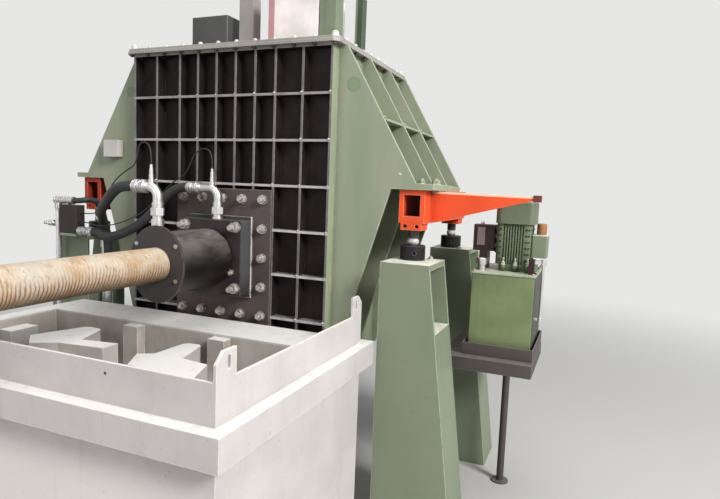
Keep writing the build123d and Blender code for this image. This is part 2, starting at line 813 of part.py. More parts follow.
def bracket(corner_x, corner_y, plan):
    """A cast support that stands on the well's floor, with its farthest end rounded."""
    with BuildSketch(level(well_floor)) as base:
        with BuildLine():
            Polyline(*[(corner_x + x, corner_y + y) for x, y in plan], close=True)
        make_face()
        fillet(base.vertices().sort_by(Axis.Y)[-2:], bracket_rounding)
    extrude(base.sketch, amount=bracket_top - well_floor)


arm_end = well_rear - bracket_gap
with BuildPart() as brackets:
    bracket(well_left + left_bracket_inset, arm_end, left_bracket_plan)
    bracket(well_left + right_bracket_inset, arm_end, right_bracket_plan)
    block(well_left, well_left + end_block_width, arm_end - end_block_setback - end_block_depth,
          arm_end - end_block_setback, well_floor, bracket_top)
keep(brackets.part, "well_brackets")

# Manifold on a seat that the left pedestal holds, its couplings, and the pipes to the floor
manifold_right = manifold_inset - pedestal_inner_x
manifold_left = manifold_right - manifold_width
manifold_bottom = pedestal_height + manifold_seat_thickness
manifold_top = manifold_bottom + manifold_height
port_y = manifold_front + port_inset
bypass_height = manifold_top + 16
port_end = manifold_right + port_length
coupling_right = manifold_left + coupling_inset
coupling_left = manifold_left - coupling_reach
feed_x = coupling_left + coupling_diameter / 2
return_x = return_gap - pedestal_inner_x
bypass_x = bypass_gap - pedestal_inner_x
with BuildPart() as seat:
    block(manifold_left + 8, manifold_right - 8, manifold_front, pedestal_front + manifold_seat_reach,
          pedestal_height, manifold_bottom)
keep(seat.part, "manifold_seat")
with BuildPart() as manifold:
    block(manifold_left, manifold_right, manifold_front, manifold_front + manifold_depth,
          manifold_bottom, manifold_top)
    fillet(manifold.edges().filter_by(Axis.Z), 6)
keep(manifold.part, "water_manifold")
with BuildPart() as couplings:
    for length, diameter in ((port_length, port_diameter - 8), (26, port_diameter)):
        with BuildSketch(side(manifold_right)):
            with Locations((port_y, port_height)):
                Circle(diameter / 2)
        extrude(amount=length)
    with BuildSketch(side(port_end - 34)):
        with Locations((port_y, port_height)):
            Circle(port_diameter / 2)
    extrude(amount=34)
    with BuildSketch(side(coupling_left)):
        with Locations((port_y, bypass_height + 8)):
            Circle(coupling_diameter / 2)
    extrude(amount=coupling_right - coupling_left)
    disc(feed_x, port_y, manifold_top - 24, coupling_diameter, 30)
    disc(coupling_right - 45, port_y, manifold_top, 26, 20)
    with BuildSketch(side(feed_x - standpipe_diameter / 2)):
        with Locations((port_y, manifold_top - 110)):
            Circle(10)
    extrude(amount=-valve_length)
    with BuildSketch(side(feed_x - standpipe_diameter / 2 - 20)):
        with Locations((port_y, manifold_top - 110)):
            Circle(17)
    extrude(amount=-34)
keep(couplings.part, "water_couplings")
with BuildPart() as pipes:
    disc(feed_x, port_y, 0, standpipe_diameter, manifold_top - 24)
    disc(return_x, return_y, 0, return_diameter, return_top - 60)
    disc(return_x, return_y, return_top - 60, hose_diameter + 8, 60)
    disc(bypass_x, bypass_y, 0, bypass_diameter - 6, bypass_top - 40)
    disc(bypass_x, bypass_y, bypass_top - 40, bypass_diameter + 6, 40)
keep(pipes.part, "standpipes")
with BuildPart() as junction_box:
    box_inner = -casing_half - junction_inset
    block(box_inner - junction_width, box_inner, rib_depth - junction_depth, rib_depth,
          junction_bottom, junction_bottom + junction_height)
    fillet(junction_box.edges().filter_by(Axis.Y), 5)
keep(junction_box.part, "junction_box")


# Hoses and probe wires: straight runs joined by arcs as large as both runs allow
def cord(label, points, diameter):
    corners = [Vector(*place(*point)) for point in points]
    radii = []
    for before, corner, after in zip(corners, corners[1:], corners[2:]):
        into = corner - before
        out = after - corner
        half_turn = radians(into.get_angle(out)) / 2
        radii.append(0.45 * min(into.length, out.length) / tan(half_turn))
    with BuildPart() as tube:
        with BuildLine() as path:
            FilletPolyline(*corners, radius=radii)
        with BuildSketch(Plane(origin=corners[0], z_dir=(corners[1] - corners[0]))):
            Circle(diameter / 2)
        sweep(path=path.wires()[0])
    length = path.wires()[0].length
    runs = [(b - a).length for a, b in zip(corners, corners[1:])]
    print(label, "radii", [round(r) for r in radii], "runs", [round(r) for r in runs],
          "length", round(length), "volume", round(tube.part.volume / (pi * diameter**2 / 4 * length), 4))
    keep(tube.part, label)


front_exit = front_fitting_x - elbow_radius - front_straight - ferrule_length
rear_exit = rear_fitting_x - elbow_radius - rear_straight - ferrule_length
cord("front_hose", [
    (front_exit, front_fitting_y, elbow_height), (front_exit - 78, front_fitting_y, elbow_height),
    (-338, -408, 1520), (-470, -322, 1466), (-600, -228, 1418), (-698, -128, 1382),
    (-768, -44, 1326), (return_x, return_y, 1232), (return_x, return_y, return_top)], hose_diameter)
cord("rear_hose", [
    (rear_exit, rear_fitting_y, elbow_height), (rear_exit - 66, rear_fitting_y, elbow_height),
    (-312, -92, 1490), (-380, -112, 1400), (-472, -136, 1326), (-572, -150, 1282),
    (-662, -138, 1270), (port_end + 60, port_y, port_height), (port_end, port_y, port_height)],
    hose_diameter)
cord("bypass_hose", [
    (coupling_right, port_y, bypass_height + 8), (coupling_right + 46, port_y, bypass_height + 8),
    (-860, -58, 1466), (-851, 0, 1442), (bypass_x, bypass_y - 3, 1376), (bypass_x, bypass_y, 1302),
    (bypass_x, bypass_y, bypass_top)], bypass_diameter)
probe_top = probe_foot_height + probe_length
front_probe_x = front_fitting_x - 0.75 * elbow_radius
rear_probe_x = rear_fitting_x - 0.75 * elbow_radius
front_wire_end = manifold_top - 44
rear_wire_end = port_height + 52
cord("front_probe_wire", [
    (front_probe_x, front_fitting_y, probe_top), (front_probe_x, front_fitting_y, 1700),
    (-80, -453, 1748), (-130, -450, 1750), (-150, -444, 1702), (-170, -436, 1650),
    (-232, -430, 1622), (-318, -392, 1592), (-420, -326, 1556), (-530, -250, 1512),
    (-630, -180, 1462), (-710, -130, 1414), (-766, port_y - 4, 1392),
    (-826, port_y, front_wire_end), (manifold_right, port_y, front_wire_end)], wire_diameter)
cord("rear_probe_wire", [
    (rear_probe_x, rear_fitting_y, probe_top), (rear_probe_x, rear_fitting_y, 1700),
    (-36, -76, 1746), (-86, -76, 1754), (-132, -74, 1722), (-162, -72, 1664), (-196, -66, 1616),
    (-262, -52, 1592), (-340, -44, 1540), (-410, -48, 1468), (-480, -72, 1404), (-560, -104, 1358),
    (-650, -132, 1330), (-724, -136, 1326), (-778, -122, 1334),
    (-832, port_y - 8, rear_wire_end), (manifold_right, port_y - 8, rear_wire_end)], wire_diameter)

os.makedirs("parts", exist_ok=True)
for part in nodes:
    export_step(part, "parts/" + part.label + ".step")
    print(part.label, len(part.solids()), part.is_valid, round(part.volume / 1e6, 2))
whole = Compound(children=nodes).bounding_box()
print("nodes", len(nodes), "box", [round(v, 1) for v in (*whole.min, *whole.max)])
print("line", line_x, line_y)
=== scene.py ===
# %% [markdown]
# # A casting line for round bars
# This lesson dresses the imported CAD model. Every plate gets paint, wear and dirt, the bolts, nuts
# and weld beads that the CAD leaves out are added where the real ones sit, and the hoses and
# cables become smooth lines. The steel shapes stay as the CAD has them, because flat plates and
# round bars need no finer mesh: what makes them real is their surface.

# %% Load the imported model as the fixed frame
import json
import math

import bpy
import bmesh
from mathutils import Matrix, Vector


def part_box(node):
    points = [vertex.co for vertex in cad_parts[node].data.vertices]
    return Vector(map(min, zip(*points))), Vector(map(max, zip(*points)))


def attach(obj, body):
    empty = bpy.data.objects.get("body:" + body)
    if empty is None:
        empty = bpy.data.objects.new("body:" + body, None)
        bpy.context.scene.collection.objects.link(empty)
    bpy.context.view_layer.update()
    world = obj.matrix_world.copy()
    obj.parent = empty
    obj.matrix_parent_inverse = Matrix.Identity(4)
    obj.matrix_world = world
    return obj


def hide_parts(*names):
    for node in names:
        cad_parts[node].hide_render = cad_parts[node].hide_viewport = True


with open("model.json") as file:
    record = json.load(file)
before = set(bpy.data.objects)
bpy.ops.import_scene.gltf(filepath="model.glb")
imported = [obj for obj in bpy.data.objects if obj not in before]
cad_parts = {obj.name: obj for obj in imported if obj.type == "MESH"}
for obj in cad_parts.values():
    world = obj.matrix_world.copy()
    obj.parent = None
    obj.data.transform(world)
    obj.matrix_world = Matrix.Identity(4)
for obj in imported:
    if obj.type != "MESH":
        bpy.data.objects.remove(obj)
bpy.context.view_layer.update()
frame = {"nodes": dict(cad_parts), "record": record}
print("CAD nodes:", len(frame["nodes"]))

# %% [markdown]
# ## Where things are
# Sizes in this lesson are millimetres measured from the line of the bar, from the front face of
# the ribs and from the floor. `at` turns such a place into metres in the model's own frame.
# Metres in the model's frame could be typed everywhere, but numbers that start from the machine's
# own lines are easier to check against each other. Masks inside materials are in metres.

# %% Name the line that all places start from
LINE = Vector((-137.0, 142.0, 0.0))
BAR_Z = 1215.0


def at(x, y, z):
    return (Vector((x, y, z)) + LINE) / 1000


def new_object(name, data):
    """Makes an object and puts it in the scene."""
    thing = bpy.data.objects.new(name, data)
    bpy.context.scene.collection.objects.link(thing)
    return thing


print("bar axis crosses the ribs at", tuple(round(v, 4) for v in at(0, 0, BAR_Z)))

# %% [markdown]
# ## The camera
# The photograph was taken by someone who stood to the right of the water box. The three turns are
# measured from the photograph's vanishing points. The camera could be turned by hand until the
# picture fits, but three turns, one after the other, can each be checked against one family of
# lines.

# %% Set the camera where the photographer stood
YAW, PITCH, ROLL = (math.radians(angle) for angle in (22.2, 6.0, 2.25))
EYE = (1774.5, -2475, 1580.25)
upright = Matrix(((1, 0, 0), (0, 0, -1), (0, 1, 0)))
turn = Matrix(((math.cos(YAW), 0, math.sin(YAW)), (0, 1, 0), (-math.sin(YAW), 0, math.cos(YAW))))
nod = Matrix(((1, 0, 0), (0, math.cos(PITCH), -math.sin(PITCH)),
              (0, math.sin(PITCH), math.cos(PITCH))))
tilt = Matrix(((math.cos(ROLL), -math.sin(ROLL), 0), (math.sin(ROLL), math.cos(ROLL), 0),
               (0, 0, 1)))
looking = tilt @ nod @ turn @ upright
axes = Matrix((looking[0], -looking[1], -looking[2])).transposed()
camera_data = bpy.data.cameras.new("camera")
camera_data.lens, camera_data.sensor_width, camera_data.clip_end = 28.75, 36.0, 100
camera = new_object("camera", camera_data)
camera.matrix_world = Matrix.Translation(at(*EYE)) @ axes.to_4x4()
bpy.context.scene.camera = camera
print("camera at", tuple(round(v, 3) for v in camera.location))

# %% [markdown]
# ## Shader arithmetic
# `add_node` adds one node to any tree. `Value` wraps a socket so that masks can be written as
# sums and products. `Paint` makes a material, and its coat of colour is built up with `over`.
# Nodes could be placed and linked one by one. Written as an expression, a mask reads like the
# rule that it stands for.


# %% Write the arithmetic of sockets
def add_node(tree, kind, inputs=None, **settings):
    """Adds a node with its settings, and links or fills the inputs that it is given."""
    node = tree.nodes.new(kind)
    for key, value in settings.items():
        setattr(node, key, value)
    for key, value in (inputs or {}).items():
        if isinstance(value, bpy.types.NodeSocket):
            tree.links.new(value, node.inputs[key])
        elif value is not None:
            node.inputs[key].default_value = value
    return node


class Value:
    """A shader socket that can be added, multiplied and compared."""

    def __init__(self, paint, socket):
        self.paint, self.socket = paint, socket

    def _math(self, kind, other=None, clamp=False, swap=False):
        pair = (other, self) if swap else (self, other)
        return self.paint.add("ShaderNodeMath", {0: pair[0], 1: pair[1]},
                              operation=kind, use_clamp=clamp)

    def __add__(self, other):
        return self._math("ADD", other)

    def __sub__(self, other):
        return self._math("SUBTRACT", other)

    def __rsub__(self, other):
        return self._math("SUBTRACT", other, swap=True)

    def __mul__(self, other):
        return self._math("MULTIPLY", other)

    def __pow__(self, other):
        return self._math("POWER", other)

    __radd__, __rmul__ = __add__, __mul__

    def biggest(self, other):
        return self._math("MAXIMUM", other)

    def wave(self):
        return self._math("SINE")

    def size(self):
        return self._math("ABSOLUTE")

    def clamp(self):
        return self._math("ADD", 0.0, clamp=True)

    def step(self, low, high, out_low=0.0, out_high=1.0):
        """A soft step from out_low to out_high."""
        return self.paint.add("ShaderNodeMapRange",
                              {0: self, 1: low, 2: high, 3: out_low, 4: out_high},
                              interpolation_type="SMOOTHSTEP")


def opaque(colour):
    """A colour with its alpha, or the socket that already carries one."""
    return colour if isinstance(colour, Value) else (*colour, 1.0)


def away(across, up):
    """The distance from a point, from its two parts."""
    return (across * across + up * up) ** 0.5


print("socket arithmetic ready")


# %% Write the paint that is built up from masks
BAR_AXIS = {"X": LINE.x / 1000, "Y": LINE.y / 1000, "Z": BAR_Z / 1000}


class Paint:
    """A material with a principled shader, built up from masks."""

    def __init__(self, name):
        self.name = name
        self.material = bpy.data.materials.new(name)
        self.material.use_nodes = True
        self.tree = self.material.node_tree
        self.shader = self.tree.nodes["Principled BSDF"]
        self.place = self.add("ShaderNodeTexCoord", out="Object")
        self.parts = self.colour = None
        self.seed = sum(ord(letter) for letter in name) % 97

    def add(self, kind, inputs=None, out=0, **settings):
        """Adds a node and gives back one of its outputs."""
        given = {key: value.socket if isinstance(value, Value) else value
                 for key, value in (inputs or {}).items()}
        return Value(self, add_node(self.tree, kind, given, **settings).outputs[out])

    def axis(self, letter):
        if self.parts is None:
            self.parts = self.add("ShaderNodeSeparateXYZ", {0: self.place})
        return Value(self, self.parts.socket.node.outputs["XYZ".index(letter)])

    def from_bar(self, letter):
        """Metres along one axis from where the bar's axis meets the front of the ribs."""
        return self.axis(letter) - BAR_AXIS[letter]

    def noise(self, scale, detail=4.0, rough=0.55, stretch=(1, 1, 1), shift=0.0):
        moved = self.add("ShaderNodeMapping", {
            0: self.place, 1: (shift + self.seed, shift * 1.7, shift * 0.3), 3: stretch})
        return self.add("ShaderNodeTexNoise", {
            "Vector": moved, "Scale": scale, "Detail": detail, "Roughness": rough})

    def clouds(self, scale, shift=0.0):
        """Broad soft patches, from nought to one."""
        return self.noise(scale, 5.0, 0.6, shift=shift).step(0.35, 0.68)

    def edges(self, radius):
        """One on an outer edge of a plate, nought on its flats."""
        soft = self.add("ShaderNodeBevel", {"Radius": radius}, samples=6)
        flat = self.add("ShaderNodeNewGeometry", out="Normal")
        facing = self.add("ShaderNodeVectorMath", {0: soft, 1: flat}, out="Value",
                          operation="DOT_PRODUCT")
        return facing.step(0.995, 0.86)

    def corners(self, distance):
        """One deep in a corner, nought in the open."""
        open_sky = self.add("ShaderNodeAmbientOcclusion", {"Distance": distance}, out="AO",
                            samples=8)
        return open_sky.step(0.85, 0.25)

    def facing(self, letter):
        """How much the surface faces along one axis, from minus one to one."""
        flat = self.add("ShaderNodeNewGeometry", out="Normal")
        return self.add("ShaderNodeSeparateXYZ", {0: flat}, out="XYZ".index(letter))

    def mix(self, first, second, amount):
        return self.add("ShaderNodeMix", {0: amount, 6: opaque(first), 7: opaque(second)}, out=2,
                        data_type="RGBA")

    def coat(self, base, shade, amount):
        """Starts the coat: a base colour that drifts to a shade."""
        self.colour = self.mix(base, shade, amount)

    def over(self, colour, amount):
        """Lays another colour over the coat by a mask."""
        self.colour = self.mix(self.colour, colour, amount)

    def set(self, name, value):
        socket = self.shader.inputs[name]
        if isinstance(value, Value):
            self.tree.links.new(value.socket, socket)
        else:
            socket.default_value = value
        return self

    def relief(self, height, strength, distance=0.001, radius=0.0015):
        soft = self.add("ShaderNodeBevel", {"Radius": radius}, samples=6)
        bumped = self.add("ShaderNodeBump", {"Strength": strength, "Distance": distance,
                                             "Height": height, "Normal": soft})
        return self.set("Normal", bumped)

    def keep(self):
        """Sets the coat as the base colour and keeps the material under its name."""
        look[self.name] = self.set("Base Color", self.colour).material


look = {}
print("paint ready, seeded by its name")

# %% [markdown]
# ## Paints and metals
# Each paint layers broad clouds of tone, streaks that run down, specks, grime that darkens the
# corners with painted shade, dust that also paints the light on what faces up, and a paler worn
# line along the plate edges. A plain colour would look like plastic, and a picture would need
# unwrapping. Layers of noise on object coordinates show wear at its real size from any side.

# %% Name the shared coats and write the finishes
SAGE, SAGE_SHADE = (0.300, 0.335, 0.235), (0.255, 0.305, 0.205)
SAGE_WORN, SAGE_DIRT, SAGE_DUST_AND_TOP_LIGHT = (0.62, 0.68, 0.52), (0.09, 0.10, 0.075), (0.46, 0.49, 0.38)
ORANGE, ORANGE_SHADE = (0.80, 0.092, 0.024), (0.70, 0.075, 0.020)
ORANGE_WEAR_AND_HIGHLIGHT, ORANGE_DUST_AND_TOP_LIGHT = (0.95, 0.50, 0.34), (0.92, 0.42, 0.27)
SOOT = (0.014, 0.011, 0.011)


def weather(paint, worn, dirt, wear=0.6, dirt_amount=0.5, streaks=0.25, edge=0.004, dust=None,
            dust_amount=0.0, roughness=0.5, sheen=0.5):
    """Adds streaks, specks, grime with painted shade in the corners, dust with painted top light
    and worn edges to a coat, and keeps the paint.
    """
    runs = paint.noise(9.0, 6.0, 0.65, stretch=(2.4, 2.4, 0.16), shift=3.0).step(0.52, 0.78)
    paint.over(dirt, runs * streaks)
    specks = paint.noise(70.0, 3.0, 0.6, shift=8.0).step(0.66, 0.74)
    paint.over(dirt, specks * 0.35)
    # The corners darken by ambient occlusion: partly grime, partly painted shade.
    smut = paint.noise(14.0, 5.0, 0.6, shift=5.0).step(0.3, 0.62)
    paint.over(dirt, (paint.corners(0.09) * dirt_amount * (0.35 + smut * 0.65)).clamp())
    # What faces up gets dust, which also paints the light on the tops.
    if dust is not None:
        film = paint.noise(18.0, 4.0, 0.6, shift=7.0).step(0.25, 0.6, 0.45, 1.0)
        upward = paint.facing("Z").step(0.5, 0.95)
        paint.over(dust, (upward * film * dust_amount).clamp())
    broken = paint.noise(34.0, 4.0, 0.7, shift=11.0).step(0.3, 0.55)
    paint.over(worn, (paint.edges(edge) * broken * wear).clamp())
    paint.set("Roughness", (roughness + specks * 0.1 + runs * 0.12).clamp())
    paint.set("Metallic", 0.0).set("Specular IOR Level", sheen)
    paint.relief(paint.noise(120.0, 3.0, 0.6, shift=2.0) + specks * 0.5, 0.15)
    paint.keep()


def painted(name, base, shade, worn, dirt, blotch=3.0, **wear):
    """A coat of paint whose shade drifts between two colours."""
    paint = Paint(name)
    paint.coat(base, shade, paint.clouds(blotch))
    weather(paint, worn, dirt, **wear)


def metal(name, base, shade, roughness=0.3, grain=90.0, metallic=1.0, dirt=0.4, patch=11.0):
    """Metal that is duller in patches, with painted shade in its corners."""
    paint = Paint(name)
    broad = paint.noise(patch, 4.0, 0.62).step(0.35, 0.7)
    # The corners darken by ambient occlusion: painted shade.
    deep = paint.corners(0.02)
    paint.coat(base, shade, (broad * 0.6 + deep * dirt).clamp())
    paint.set("Metallic", metallic)
    paint.set("Roughness", (roughness + broad * 0.2 + deep * 0.2).clamp())
    paint.relief(paint.noise(grain, 3.0, 0.6), 0.2, 0.0004, 0.0008)
    paint.keep()


def ridged(name, base, shade, pitch):
    """Bright metal with rings pressed across the X axis."""
    paint = Paint(name)
    broad = paint.noise(14.0, 4.0, 0.6).step(0.35, 0.7)
    rings = (paint.axis("X") * (2 * math.pi / pitch)).wave()
    # The grooves are painted darker: painted shade.
    groove = rings.step(-0.35, -0.95)
    paint.coat(base, shade, (broad * 0.4 + groove * 0.7).clamp())
    paint.set("Metallic", 0.9).set("Roughness", (0.24 + broad * 0.2 + groove * 0.2).clamp())
    paint.relief(rings, 0.6, 0.0022, 0.001)
    paint.keep()


print("shared coats: sage, orange, soot; finishes: painted, metal, ridged")

# %% Mix the paints and metals of the material slots
painted("sage_paint", SAGE, SAGE_SHADE, SAGE_WORN, SAGE_DIRT, wear=0.85, dirt_amount=0.45,
        streaks=0.10, edge=0.005, blotch=2.2, dust=SAGE_DUST_AND_TOP_LIGHT, dust_amount=0.5, sheen=0.3)
painted("oil_green_paint", (0.22, 0.27, 0.115), (0.155, 0.19, 0.08), (0.50, 0.55, 0.38),
        (0.06, 0.065, 0.04), blotch=7.0, dust=(0.42, 0.46, 0.33), dust_amount=0.6, sheen=0.3)
painted("soot_paint", (0.080, 0.058, 0.057), (0.105, 0.079, 0.077), (0.32, 0.30, 0.29), SOOT,
        wear=0.9, edge=0.005, streaks=0.35, dust=(0.15, 0.135, 0.13), dust_amount=0.6, sheen=0.3)
# The orange paint's pale worn edges also stand in for edge highlights: painted highlight.
painted("orange_paint", ORANGE, ORANGE_SHADE, ORANGE_WEAR_AND_HIGHLIGHT, (0.16, 0.03, 0.018), wear=0.9,
        dirt_amount=0.7, streaks=0.08, edge=0.006, dust=ORANGE_DUST_AND_TOP_LIGHT, dust_amount=0.7, sheen=0.3)
painted("dark_red_paint", (0.16, 0.02, 0.018), (0.10, 0.015, 0.012), (0.3, 0.1, 0.08),
        (0.03, 0.02, 0.02))
painted("shelf_paint", (0.070, 0.057, 0.053), (0.050, 0.042, 0.040), (0.26, 0.23, 0.21),
        (0.03, 0.026, 0.024), wear=0.8, roughness=0.6, dust=(0.22, 0.20, 0.18), dust_amount=0.5)
painted("lid_paint", (0.325, 0.315, 0.288), (0.262, 0.255, 0.230), (0.62, 0.63, 0.58),
        (0.06, 0.055, 0.05), wear=0.8, dust=(0.36, 0.36, 0.33), dust_amount=0.8)
painted("grey_box", (0.060, 0.062, 0.058), (0.045, 0.047, 0.044), (0.24, 0.24, 0.23),
        (0.02, 0.02, 0.02), wear=0.7)
painted("amber_paint", (0.33, 0.155, 0.047), (0.25, 0.115, 0.036), (0.62, 0.42, 0.22),
        (0.08, 0.05, 0.03), wear=0.4)
metal("bright_fitting", (0.76, 0.76, 0.75), (0.40, 0.39, 0.385), 0.28, patch=17.0, dirt=0.7)
ridged("ridged_steel", (0.78, 0.78, 0.77), (0.20, 0.19, 0.19), 0.013)
metal("chrome", (0.80, 0.80, 0.80), (0.50, 0.49, 0.48), 0.16)
metal("black_steel", (0.042, 0.040, 0.040), (0.085, 0.076, 0.072), 0.45, metallic=0.3)
metal("rubber", (0.016, 0.016, 0.018), (0.035, 0.034, 0.034), 0.5, metallic=0.0)
metal("bolt_steel", (0.62, 0.575, 0.54), (0.060, 0.048, 0.045), 0.34, metallic=0.25, grain=140.0,
      dirt=1.0, patch=55.0)
metal("cap_steel", (0.66, 0.66, 0.62), (0.30, 0.30, 0.27), 0.46, grain=140.0, metallic=0.1,
      dirt=0.6, patch=50.0)
metal("nut_paint", (0.11, 0.11, 0.10), (0.05, 0.05, 0.045), 0.5, metallic=0.1, dirt=0.9)
print("materials:", ", ".join(sorted(look)))


# %% [markdown]
# ## The front wall
# The pockets are sooty and the ribs' front edges greyer. The level ribs' front edges carry a
# painted highlight, strongest on the lower rows, and their dust also paints the light on their
# tops. The outer faces of the casing keep the sage coat of the gussets. The wall is a grid of flat
# bars on a dark shell, and the heat of the furnace has browned it unevenly. Each bar could have
# its own material, but one paint that knows its place in the grid gives every rib its tone and
# keeps the node whole. The front and rear ribs end WALL_REACH each side of WALL_MIDDLE.

# %% Mix the wall's paints by place
CASING_HALF, CASING_BOTTOM, CASING_TOP = 594.0, 690.0, 2250.0
RIB = 12.0
ROW_PITCH = (CASING_TOP - CASING_BOTTOM - RIB) / 7
WALL_MIDDLE, WALL_REACH = 507.0, 507.0


def wall_paint(name, inner, inner_shade, edge_colour, worn, level_highlight=None, **wear):
    """Dark inside, greyer front rib edges, a painted highlight on level ribs, sage outer faces."""
    paint = Paint(name)
    paint.coat(inner, inner_shade, paint.clouds(6.0))
    from_middle = (paint.axis("Y") - (WALL_MIDDLE + LINE.y) / 1000).size()
    rubbed = paint.noise(16.0, 5.0, 0.65, shift=9.0).step(0.25, 0.6, 0.55, 1.0)
    out_front = from_middle.step(WALL_REACH / 1000 - 0.003, WALL_REACH / 1000 - 0.0005)
    paint.over(edge_colour, (out_front * rubbed).clamp())
    # The level ribs' front edges get a painted highlight, stronger on the lower rows.
    if level_highlight is not None:
        above_first = paint.axis("Z") - (CASING_BOTTOM + RIB / 2) / 1000
        turns = above_first * (2 * math.pi / (ROW_PITCH / 1000))
        on_row = (turns + math.pi / 2).wave().step(0.979, 0.986)
        lower = paint.axis("Z").step(2.05, 1.35, 0.35, 1.0)
        paint.over(level_highlight, (on_row * rubbed * lower * out_front).clamp())
    side = CASING_HALF / 1000
    outside = paint.from_bar("X").size().step(side - 0.0016, side)
    paint.over(paint.mix(SAGE, SAGE_SHADE, paint.clouds(3.0, 6.0)), outside)
    weather(paint, worn, SOOT, **wear)


wall_paint("pocket_paint", (0.0215, 0.0142, 0.0148), (0.037, 0.0255, 0.0270), (0.13, 0.12, 0.12),
           (0.13, 0.12, 0.12), wear=0.3, dirt_amount=0.35, roughness=0.55, sheen=0.15)
# The ribs' pale level edges are a painted highlight, and their dust also paints top light.
wall_paint("rib_paint", (0.0125, 0.0090, 0.0095), (0.022, 0.0165, 0.017), (0.190, 0.172, 0.170),
           (0.44, 0.42, 0.41), (0.56, 0.535, 0.52), streaks=0.2, dirt_amount=0.3, edge=0.003,
           dust=(0.22, 0.205, 0.20), dust_amount=0.9, sheen=0.2)
print("wall paints mixed")

# %% [markdown]
# ## The mould's plates
# The adapter plate is bare and bright on its edges. The block's sides are bluish grey above a
# height. The cooler is greyer in scuffed patches on its upper half, which also paints the light
# on its top. Thin shells could be laid over the edges. A mask that reads which way a face looks,
# how high it is and how far forward does the same without another mesh.

# %% Mix the plates' paints by the way they face
def plate_paint(name, front, front_shade, side_colour, back, low, high, **wear):
    """A dark plate whose edges show another colour in front of a depth and above a height."""
    paint = Paint(name)
    paint.coat(front, front_shade, paint.clouds(9.0))
    sideways = paint.facing("Y").size().step(0.7, 0.3)
    high_enough = paint.axis("Z").step(low, high)
    scraped = paint.noise(22.0, 4.0, 0.65, shift=4.0).step(0.22, 0.45, 0.55, 1.0)
    ahead = paint.from_bar("Y").step(back + 0.0015, back)
    paint.over(side_colour, (sideways * high_enough * scraped * ahead).clamp())
    weather(paint, (0.60, 0.58, 0.56), (0.012, 0.010, 0.010), **wear)


plate_paint("adapter_paint", (0.05, 0.041, 0.041), (0.064, 0.052, 0.051), (0.66, 0.63, 0.61),
            -0.022, 0.95, 1.0, wear=1.0, dirt_amount=0.1, edge=0.006, sheen=0.3)
plate_paint("block_paint", (0.031, 0.0215, 0.0225), (0.047, 0.035, 0.036), (0.070, 0.077, 0.078),
            0.0, 1.02, 1.16, wear=0.15, dirt_amount=0.3, sheen=0.3)
cooler = Paint("cooler_paint")
cooler.coat((0.0065, 0.0048, 0.0046), (0.014, 0.0112, 0.0108), cooler.clouds(8.0))
# The upper half is greyer in scuffed patches, partly scuffs and partly painted top light.
painted_light_above = cooler.from_bar("Z").step(-0.03, 0.125)
scuff = cooler.noise(12.0, 6.0, 0.68, stretch=(1.0, 0.35, 1.0), shift=5.0)
scuff = scuff.step(0.34, 0.60, 0.25, 1.0)
cooler.over((0.150, 0.137, 0.128), (painted_light_above * scuff * 0.95).clamp())
weather(cooler, (0.30, 0.28, 0.27), (0.02, 0.016, 0.016), wear=0.5, dirt_amount=0.3,
        streaks=0.15, roughness=0.40, sheen=0.3)
painted("disc_paint", (0.046, 0.038, 0.040), (0.062, 0.052, 0.053), (0.24, 0.22, 0.22),
        (0.014, 0.012, 0.012), wear=0.8, edge=0.003, streaks=0.2, roughness=0.42, sheen=0.3)
print("plates mixed")

# %% [markdown]
# ## The water box
# White paint that has greyed inside the well, with scattered specks, grime and runs of rust-brown
# water. On the front, a dark disc is painted as the shade inside one screw hole, the lower part is
# painted paler as painted light near the floor, and a painted shadow runs under the rim. The dust
# on the rims and brackets also paints the light on their tops. The stains could be flat shapes
# laid on the plates, but masks made from the height and from the distance to the well's middle
# follow every edge exactly.

# %% Mix the box's paint
WELL_X, WELL_Y, WELL_HALF_X, WELL_HALF_Y, WELL_TOP = 0.0065, -0.7535, 0.826, 0.431, 0.889
RIM_FOOT = 0.7895
SPOT_X, SPOT_Z, SPOT_RADIUS = 0.426, 0.992, 0.0062
box = Paint("box_paint")
box.coat((0.575, 0.54, 0.535), (0.49, 0.46, 0.46), box.clouds(2.6))
inner_x = (box.from_bar("X") - WELL_X).size().step(WELL_HALF_X, WELL_HALF_X - 0.004)
inner_y = (box.from_bar("Y") - WELL_Y).size().step(WELL_HALF_Y, WELL_HALF_Y - 0.004)
well = inner_x * inner_y * box.axis("Z").step(WELL_TOP, WELL_TOP - 0.006)
stain = box.noise(6.0, 5.0, 0.65, stretch=(1.0, 1.0, 0.4), shift=6.0).step(0.3, 0.65)
box.over(box.mix((0.47, 0.435, 0.395), (0.35, 0.32, 0.285), stain), well)
spatter = box.noise(46.0, 3.0, 0.6, shift=12.0).step(0.68, 0.74)
box.over((0.16, 0.13, 0.12), spatter * 0.5)
# A dark disc painted on the front where one screw hole is: the hole's painted shade.
spot = away(box.from_bar("X") - SPOT_X, box.axis("Z") - SPOT_Z)
before = box.from_bar("Y").step(-1.183, -1.186)
box.over((0.05, 0.045, 0.042), spot.step(SPOT_RADIUS, 0.0045) * before)
grime = box.noise(4.2, 6.0, 0.7, stretch=(1.0, 1.0, 0.7), shift=30.0).step(0.56, 0.72)
box.over((0.40, 0.37, 0.35), grime * 0.35)
drip = box.noise(13.0, 5.0, 0.6, stretch=(1.6, 1.6, 0.05), shift=2.0).step(0.62, 0.72)
box.over((0.36, 0.31, 0.26), drip * 0.3)
# A painted shadow: a dark line under the rim.
painted_rim_shadow = box.axis("Z").step(0.758, 0.784) * box.axis("Z").step(RIM_FOOT + 0.001, RIM_FOOT)
box.over((0.23, 0.19, 0.165), painted_rim_shadow * (1 - well) * 0.70)
# Painted light: the front is painted paler towards the floor.
painted_light_near_floor = box.axis("Z").step(0.765, 0.60) * box.facing("Y").step(-0.5, -0.9)
box.over((0.80, 0.745, 0.73), painted_light_near_floor * 0.85)
